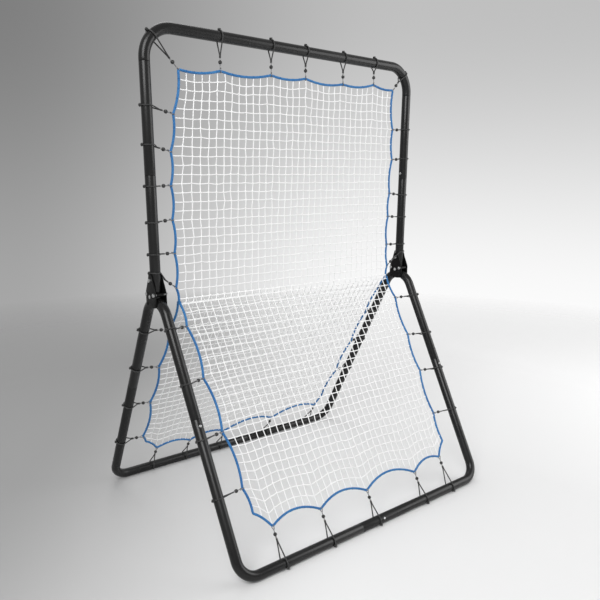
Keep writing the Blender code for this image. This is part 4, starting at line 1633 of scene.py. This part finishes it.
@dataclass
class Netting:
    """A panel's border rope and its knotted net."""

    panel: Panel
    shapes: Shapes
    finishes: Finishes
    cord: float = 0.0019
    knot_size: float = 0.0032
    hitch: float = 0.0006
    rope: float = ROPE
    rope_step: float = 0.002
    rope_sides: int = 16
    relief: float = 0.0004
    strands: int = 4
    lay: float = 0.012
    loose: float = 0.0012
    wave: float = 0.004
    ripples: tuple[float, ...] = (7.1, 2.3, 5.3, 1.7)
    sag: float = 0.0007
    blend: float = 0.09
    seed: int = 11

    def rope_route(self) -> list[Vector]:
        """The rope's centre line: out along one side, along the far edge and back.

        Returns:
            Its points.
        """
        panel = self.panel
        side_count = int(panel.left[-1][0] / self.rope_step)
        far_count = int((panel.far[-1][0] - panel.far[0][0]) / self.rope_step)
        flat = [panel.edge(True, k / side_count) for k in range(side_count)]
        flat += [panel.rim(k / far_count) for k in range(far_count)]
        flat += [panel.edge(False, 1 - k / side_count) for k in range(side_count + 1)]
        route = softened([panel.point(*place) for place in flat], 4)
        gap = SPLICE_GAP if panel.body is Body.UPPER else -SPLICE_GAP
        ends = [Vector((end.x, self.bundle_place(), SEAM_HEIGHT + gap)) for end in (route[0], route[-1])]
        return softened(resampled([ends[0]] + route + [ends[1]], self.rope_step), 6)

    def bundle_place(self) -> float:
        """Where this rope lies, front to back, among the three that meet at the seam's end."""
        return {Body.UPPER: 0.0, Body.FRONT: -SPLICE, Body.REAR: SPLICE}[self.panel.body] * self.rope

    def build_rope(self) -> None:
        """Makes the border rope."""
        mesh = self.shapes.cords([self.rope_route()], self.rope - self.relief / 2, self.rope_sides,
                                 self.finishes.rope, strands=self.strands, pitch=self.lay, relief=self.relief)
        self.add("rope_", mesh, "border_rope_", "blue_rope")

    def add(self, name: str, mesh: Mesh, node: str, slot: str) -> None:
        """Adds a piece on the upper frame, or on no body where the panel is a lower one.

        Args:
            name: start of the piece's name.
            mesh: its mesh.
            node: start of the name of the CAD node that it stands for.
            slot: the name of a material slot, kept on the piece; not used.
        """
        panel = self.panel
        bends = []
        if panel.body is not Body.UPPER:
            bends = [panel.body, panel.seam, panel.seam + panel.outward * self.blend]
        Piece(name + panel.word, mesh, Body.UPPER, (node + panel.word,), slot, *bends).add()

    def nodes(self) -> np.ndarray:
        """The net's crossings, with the slackness of a hung net.

        Returns:
            Their places, by column and row.
        """
        panel = self.panel
        noise = np.random.default_rng(self.seed)
        columns, rows = panel.columns, panel.rows
        a, b, c, d = self.ripples
        places = np.zeros((columns + 1, rows + 1, 3))
        for i in range(columns + 1):
            for j in range(rows + 1):
                u, v = i / columns, j / rows
                place = panel.point(*panel.spot(u, v))
                if j == 0:
                    place += panel.outward * panel.seam_shift
                inner = sin(pi * u) * sin(pi * v)
                drift = inner ** 0.5 * self.wave * sin(a * u + b * v) * cos(c * v - d * u)
                places[i, j] = place + panel.normal * drift
                if 0 < i < columns and 0 < j < rows:
                    places[i, j] += noise.normal(0.0, self.loose, 3)
        return places

    def strand(self, knots: Sequence[Vector], trim: tuple[bool, bool]) -> list[Vector]:
        """A cord through its knots, slightly slack between them.

        Args:
            knots: the crossings that it passes.
            trim: whether each end stops at the rope's surface.

        Returns:
            The cord's points, three to a mesh, so that each third point is a knot.
        """
        knots = [Vector(place) for place in knots]
        for end, inner, cut in ((0, 1, trim[0]), (-1, -2, trim[1])):
            if cut:
                knots[end] += (knots[inner] - knots[end]).normalized() * self.rope
        sag = Vector((0, 0, -self.sag))
        points = []
        for a, b in zip(knots, knots[1:]):
            points += [a, a.lerp(b, 1 / 3) + sag, a.lerp(b, 2 / 3) + sag]
        return points + [knots[-1]]

    def build_net(self) -> None:
        """Makes the net's cords and knots."""
        panel = self.panel
        places = self.nodes()
        columns, rows = panel.columns, panel.rows
        warp = [self.strand(places[i, :], (False, True)) for i in range(1, columns)]
        weft = [self.strand(places[:, j], (True, True)) for j in range(rows)]
        mesh = path_mesh(warp + weft)
        count = len(mesh.vertices)
        marks = np.zeros(count)
        length = 3 * rows + 1
        for k in range(len(warp)):
            marks[k * length + 3: (k + 1) * length - 3: 3] = 1.0
        turns = np.random.default_rng(self.seed + 1).uniform(0, 2 * pi, count)
        up = np.outer(np.sin(turns), panel.outward) + np.outer(np.cos(turns), Vector((1, 0, 0)))
        write_attribute(mesh, Attribute.KNOT, marks)
        write_attribute(mesh, Attribute.FACING, np.tile(np.array(panel.normal), (count, 1)))
        write_attribute(mesh, Attribute.SIDEWAYS, up)
        knot = link(self.shapes.knot(self.cord * 0.92, self.knot_size, 12, 4))
        obj = link(mesh)
        add_tree(obj, self.shapes.net, Radius=self.cord, Sides=6, Knot=knot, Material=self.finishes.net)
        made = evaluated(obj)
        discard(knot)
        self.add("net_cords_", made, "net_", "white_net")
        self.build_hitches(warp, weft)

    def build_hitches(self, warp: Sequence[Sequence[Vector]], weft: Sequence[Sequence[Vector]]) -> None:
        """Makes the turns of thread that hold the net's ends to the rope.

        Args:
            warp: the cords from the seam outward.
            weft: the cords across.
        """
        ends = [(cord[-1], cord[-2]) for cord in warp]
        ends += [pair for cord in weft[1:] for pair in ((cord[0], cord[1]), (cord[-1], cord[-2]))]
        route = self.rope_route()
        line = np.array(route)
        spots = []
        for end, inner in ends:
            near = int(np.argmin(np.linalg.norm(line - np.array(end), axis=1)))
            near = min(max(near, 1), len(route) - 2)
            along = (route[near + 1] - route[near - 1]).normalized()
            spots.append((route[near], along, end - inner))
        ring = self.shapes.ring(self.hitch, self.rope + self.hitch * 0.8, 12, 5)
        mesh = self.shapes.repeat(ring, spots, self.finishes.rope)
        self.add("hitches_", mesh, "border_rope_", "blue_rope")


@dataclass
class Ties:
    """A panel's ties: elastic cord round the tube, knot, bead, ball and wire hook."""

    panel: Panel
    shapes: Shapes
    finishes: Finishes
    rope: float = ROPE
    wire: float = 0.0016
    ball: float = 0.0070
    ball_from_rope: float = 0.0285
    bead: float = 0.0031
    bead_length: float = 0.0075
    together: float = 0.0105
    steps: int = 16
    nub: float = 0.0046
    tail: float = 0.005
    tail_droop: float = 0.0015
    hook_neck: float = 1.9
    hook_lift: float = 1.3
    hook_opening: float = radians(20)
    hook_steps: int = 14
    ball_seam: float = 0.96
    barrel: tuple[tuple[float, float], ...] = (
        (0.0, 0.5), (0.62, 0.5), (0.92, 0.42), (1.0, 0.25), (0.94, 0.08))

    def route(self, tie: Tie) -> tuple[list[list[Vector]], Vector, Vector, Vector]:
        """The elastic cord of one tie.

        Args:
            tie: the tie.

        Returns:
            The cord's paths, the knot's place, and the tie's direction and sideways.
        """
        direction = (tie.hook - tie.centre).normalized()
        bead = tie.hook - direction * (self.ball_from_rope + self.ball + self.bead_length)
        apex = bead - direction * self.together
        flat = apex - tie.centre - (apex - tie.centre).dot(tie.axis) * tie.axis
        toward = flat.normalized()
        sideways = tie.axis.cross(toward)
        clear = RADIUS + ELASTIC + 0.0002
        opening = acos(clear / flat.length)
        angles = [opening + (2 * pi - 2 * opening) * k / self.steps for k in range(self.steps + 1)]
        loop = [tie.centre + (toward * cos(a) + sideways * sin(a)) * clear for a in angles]
        start = [bead + sideways * ELASTIC, apex + sideways * ELASTIC]
        finish = [apex - sideways * ELASTIC, bead - sideways * ELASTIC]
        paths = [start + loop + finish]
        away = -toward
        if min(point.z for point in loop) < ELASTIC:
            low = [k for k, point in enumerate(loop) if point.z < ELASTIC]
            paths = [start + loop[:low[0]], loop[low[-1] + 1:] + finish]
            away = Vector((0, tie.centre.y, -abs(tie.centre.y) * 0.35)).normalized()
        knot = tie.centre + away * (RADIUS + ELASTIC + self.nub * 0.5)
        for turn in (0.6, -0.5):
            lean = (away + tie.axis * turn + Vector((0, 0, -0.5 * turn))).normalized()
            tail = [knot, knot + lean * self.tail * 0.5,
                    knot + lean * self.tail - Vector((0, 0, self.tail_droop))]
            if min(point.z for point in tail) > ELASTIC:
                paths.append(tail)
        return paths, knot, direction, sideways

    def hook_wire(self, hook: Vector, direction: Vector, along: Vector) -> list[Vector]:
        """The wire from the ball, once round the rope and closed on itself.

        Args:
            hook: where the tie meets the rope.
            direction: from the tube to the hook.
            along: the rope's direction there.

        Returns:
            The wire's points.
        """
        radius = self.rope + self.wire
        across = along.cross(direction)
        start = hook - direction * (self.ball_from_rope - self.ball * 0.4)
        neck = hook - direction * radius * self.hook_neck
        points = [start, start.lerp(hook - direction * radius, 0.5), neck]
        for k in range(self.hook_steps + 1):
            angle = pi + self.hook_opening + 2 * (pi - self.hook_opening) * k / self.hook_steps
            lift = along * self.wire * self.hook_lift * (2 * k / self.hook_steps - 1)
            points.append(hook + (direction * cos(angle) + across * sin(angle)) * radius + lift)
        return points + [neck + along * self.wire * 2]

    def ball_profile(self) -> Pairs:
        """The ball's profile, with a shallow seam round its middle.

        Returns:
            Radius and height of each point.
        """
        steps = 12
        half = [(self.ball * sin(k * pi / steps) * (self.ball_seam if k == steps // 2 else 1.0),
                 self.ball * cos(k * pi / steps)) for k in range(1, steps)]
        return [(0.0, self.ball)] + half + [(0.0, -self.ball)]

    def build(self) -> None:
        """Makes every tie of the panel."""
        panel = self.panel
        cords, wires, knots, balls, beads = [], [], [], [], []
        for tie in panel.ties:
            paths, knot, direction, sideways = self.route(tie)
            cords += paths
            knots.append((knot, knot - tie.centre, tie.axis))
            balls.append((tie.hook - direction * self.ball_from_rope, direction, sideways))
            middle = self.ball_from_rope + self.ball + self.bead_length / 2
            beads.append((tie.hook - direction * middle, direction, sideways))
            flat = panel.outward if abs(direction.dot(panel.outward)) < 0.7 else Vector((1, 0, 0))
            wires.append(self.hook_wire(tie.hook, direction, flat))
        barrel = list(self.barrel) + [(r, -z) for r, z in reversed(self.barrel)]
        bead_mesh = turned_mesh([(r * self.bead, z * self.bead_length) for r, z in barrel], 14)
        finishes, shapes = self.finishes, self.shapes
        knot_mesh = shapes.knot(ELASTIC * 0.95, self.nub, 18, 6)
        made = {"elastic": shapes.cords(cords, ELASTIC, 10, finishes.elastic),
                "knots": shapes.repeat(knot_mesh, knots, finishes.elastic),
                "wires": shapes.cords(wires, self.wire, 8, finishes.wire),
                "balls": shapes.repeat(turned_mesh(self.ball_profile(), 18), balls, finishes.ball),
                "beads": shapes.repeat(bead_mesh, beads, finishes.bead)}
        for word, mesh in made.items():
            Piece("tie_%s_%s" % (word, panel.word), mesh, panel.body, ("border_rope_" + panel.word,)).add()


@dataclass
class Seam:
    """The lacing that joins the three nets, and the bindings where their ropes meet."""

    shapes: Shapes
    finishes: Finishes
    half: float = HALF_WIDTH - NET_SIDE_GAP
    pitch: float = 0.0325
    cord: float = 0.0017
    rows: float = 0.0021
    reach: float = 0.0135
    depth: float = 0.0105
    turn_steps: int = 12
    binding: float = 0.0009
    binding_count: int = 6
    binding_steps: int = 20

    def lacing(self) -> list[Vector]:
        """A cord that winds round the nets' rows of meshes at the seam.

        Returns:
            Its points.
        """
        turns = int(2 * self.half / self.pitch)
        count = turns * self.turn_steps
        points = []
        for k in range(count + 1):
            angle = 2 * pi * turns * k / count
            height = cos(angle) * self.reach
            wide = self.depth if height < 0 else self.rows * 1.6
            points.append(Vector((self.half * (2 * k / count - 1), sin(angle) * wide, SEAM_HEIGHT + height)))
        return softened(points, 1)

    def binding_turns(self) -> list[list[Vector]]:
        """Turns of thread round the ropes where they meet, at both ends of the seam.

        Returns:
            The points at each end.
        """
        turns, steps = self.binding_count, self.binding_steps
        wide, deep = SPLICE * ROPE, ROPE + self.binding
        made = []
        for side in (-1, 1):
            route = []
            for k in range(turns * steps + 1):
                angle = 2 * pi * k / steps
                height = (k / steps - turns) * 2 * self.binding
                y = sin(angle) * deep + wide * (1 if sin(angle) > 0.001 else -1 if sin(angle) < -0.001 else 0)
                route.append(Vector((side * self.half + cos(angle) * deep, y, SEAM_HEIGHT + height)))
            made.append(route)
        return made

    def build(self) -> None:
        """Makes the lacing and the bindings."""
        cords = self.shapes.cords([self.lacing()], self.cord, 8, self.finishes.lacing)
        Piece("seam_lacing", cords, Body.UPPER, ("net_upper",), "white_net").add()
        turns = self.shapes.cords(self.binding_turns(), self.binding, 8, self.finishes.rope)
        Piece("seam_bindings", turns, Body.UPPER, ("border_rope_upper",), "blue_rope").add()


# Surroundings

@dataclass(frozen=True)
class Lamp:
    """A soft square lamp that faces the middle of the object."""

    name: str
    place: tuple[float, float, float]
    power: float
    aim_height: float
    size: float = 3.0

    def add(self) -> None:
        """Hangs the lamp."""
        data = bpy.data.lights.new(self.name, "AREA")
        data.size = self.size
        data.energy = self.power
        obj = link(data, self.name)
        obj.location = self.place
        aim = Vector((0, 0, self.aim_height)) - Vector(self.place)
        obj.rotation_euler = aim.to_track_quat("-Z", "Y").to_euler()


@dataclass
class Studio:
    """The floor, the lights and the camera.

    The floor's ranges are in metres, and the sky's are a direction's share and the tones at its ends.
    """

    focal: float = 635.4
    frame_width: float = 600.0
    sensor: float = 36.0
    place: tuple[float, float, float] = (-1.6794, -2.0709, 1.3081)
    yaw: float = 0.6893
    pitch: float = 0.2546
    roll: float = -0.0056
    shift: tuple[float, float] = (0.0, 0.0833)
    floor_size: float = 14.0
    floor_tone: float = 0.77
    floor_fade: tuple[float, float] = (2.4, 5.5)
    # The floor's painted shade across the view and its painted light along x.
    shade_range: tuple[float, float] = (-1.3, 0.25)
    shade: float = 0.44
    light_range: tuple[float, float] = (0.9, 2.6)
    light: float = 1.24
    sky: float = 0.50
    # Painted shade on the backdrop, across the view and upward.
    sky_across: tuple[float, ...] = (-0.42, 0.16, 0.385, 0.97)
    sky_upward: tuple[float, ...] = (-0.20, 0.25, 1.0, 0.54)
    lamps: tuple[Lamp, ...] = (
        Lamp("key", (-3.5, -2.7, 4.0), 190.0, 0.8), Lamp("fill", (3.4, -2.5, 2.1), 76.0, 0.9),
        Lamp("back", (0.4, 2.6, 5.4), 60.0, 0.8))

    def across(self) -> Vector:
        """The camera's level right."""
        return Vector((cos(self.yaw), -sin(self.yaw), 0.0))

    def floor(self) -> None:
        """A pale floor with painted shade towards the camera's left and painted light towards +x, fading into
        the background far away.
        """
        tree = ShaderTree("studio_floor")
        place = tree.place()
        spread = tree.node("ShaderNodeVectorMath", {0: place}, operation="LENGTH").outputs["Value"]
        # Painted shade darkens the floor towards the camera's left; painted light brightens it towards +x.
        shade = tree.ramp(tree.dot(place, self.across()), *self.shade_range, curve="SMOOTHSTEP")
        light = tree.ramp(tree.dot(place, (1.0, 0.0, 0.0)), *self.light_range)
        pale = tree.mix(tree.noise(1.3, 2.0), grey(self.floor_tone), grey(self.floor_tone * 1.03))
        lit = tree.mix(light, pale, grey(self.floor_tone * self.light))
        tree.set(Base_Color=tree.mix(shade, grey(self.floor_tone * self.shade), lit),
                 Roughness=0.6, Specular_IOR_Level=0.25)
        both = tree.first("ShaderNodeMixShader", {
            0: tree.ramp(spread, *self.floor_fade), 1: tree.shader.outputs[0],
            2: tree.first("ShaderNodeBsdfTransparent")})
        tree.feed(tree.tree.nodes["Material Output"].inputs["Surface"], both)
        work = bmesh.new()
        bmesh.ops.create_circle(work, cap_ends=True, segments=96, radius=self.floor_size / 2)
        mesh = mesh_from(work)
        mesh.materials.append(tree.material)
        obj = link(mesh, "floor")

    def world(self) -> None:
        """A soft even sky; the camera sees a backdrop that runs from grey to near white, with painted shade
        towards the left and the top.
        """
        world = bpy.data.worlds.new("studio")
        bpy.context.scene.world = world
        world.use_nodes = True
        world.node_tree.nodes.clear()
        tree = NodeBuilder(world.node_tree)
        place = tree.node("ShaderNodeTexCoord").outputs["Generated"]
        # Painted shade: the backdrop darkens towards the camera's left and upward.
        tones = [tree.ramp(tree.dot(place, toward), *bounds, curve="SMOOTHSTEP")
                 for toward, bounds in ((self.across(), self.sky_across), ((0.0, 0.0, 1.0), self.sky_upward))]
        seen = tree.first("ShaderNodeBackground", {0: tree.math("MULTIPLY", *tones), 1: 1.0})
        sky = tree.first("ShaderNodeBackground", {0: grey(1.0), 1: self.sky})
        path = tree.node("ShaderNodeLightPath").outputs
        chosen = tree.math("MAXIMUM", path["Is Camera Ray"], path["Is Transmission Ray"])
        mix = tree.first("ShaderNodeMixShader", {0: chosen, 1: sky, 2: seen})
        tree.node("ShaderNodeOutputWorld", {0: mix})

    def camera(self) -> None:
        """The camera at the photograph's place."""
        data = bpy.data.cameras.new("camera")
        data.sensor_width = self.sensor
        data.lens = self.focal / self.frame_width * self.sensor
        data.shift_x, data.shift_y = self.shift
        obj = link(data, "camera")
        forward = Vector((sin(self.yaw) * cos(self.pitch), cos(self.yaw) * cos(self.pitch), -sin(self.pitch)))
        across = self.across()
        down = forward.cross(across)
        right = across * cos(self.roll) + down * sin(self.roll)
        up = across * sin(self.roll) - down * cos(self.roll)
        turn = Matrix((right, up, -forward)).transposed().to_4x4()
        obj.matrix_world = Matrix.Translation(self.place) @ turn
        bpy.context.scene.camera = obj

    def build(self) -> None:
        """Makes the surroundings."""
        self.floor()
        self.world()
        for lamp in self.lamps:
            lamp.add()
        self.camera()
        bpy.context.scene.view_settings.view_transform = "Standard"


def main() -> None:
    """Builds every piece of the rebounder and its surroundings."""
    logging.basicConfig(level=logging.INFO, format="%(name)s: %(message)s")
    finishes = Finishes()
    shapes = Shapes()
    tubes = FrameTubes(shapes, finishes.powder)
    tubes.build()
    plates = HingePlates(finishes.plate)
    plates.build()
    Fasteners(shapes, finishes.zinc, finishes.plate, plates, tubes.screws).build()
    panels = (upper_panel(), lower_panel("front", -1, Body.FRONT), lower_panel("rear", 1, Body.REAR))
    for index, panel in enumerate(panels):
        netting = Netting(panel, shapes, finishes, seed=11 + 10 * index)
        netting.build_rope()
        netting.build_net()
        Ties(panel, shapes, finishes).build()
    Seam(shapes, finishes).build()
    Studio().build()


if __name__ == "__main__":
    main()
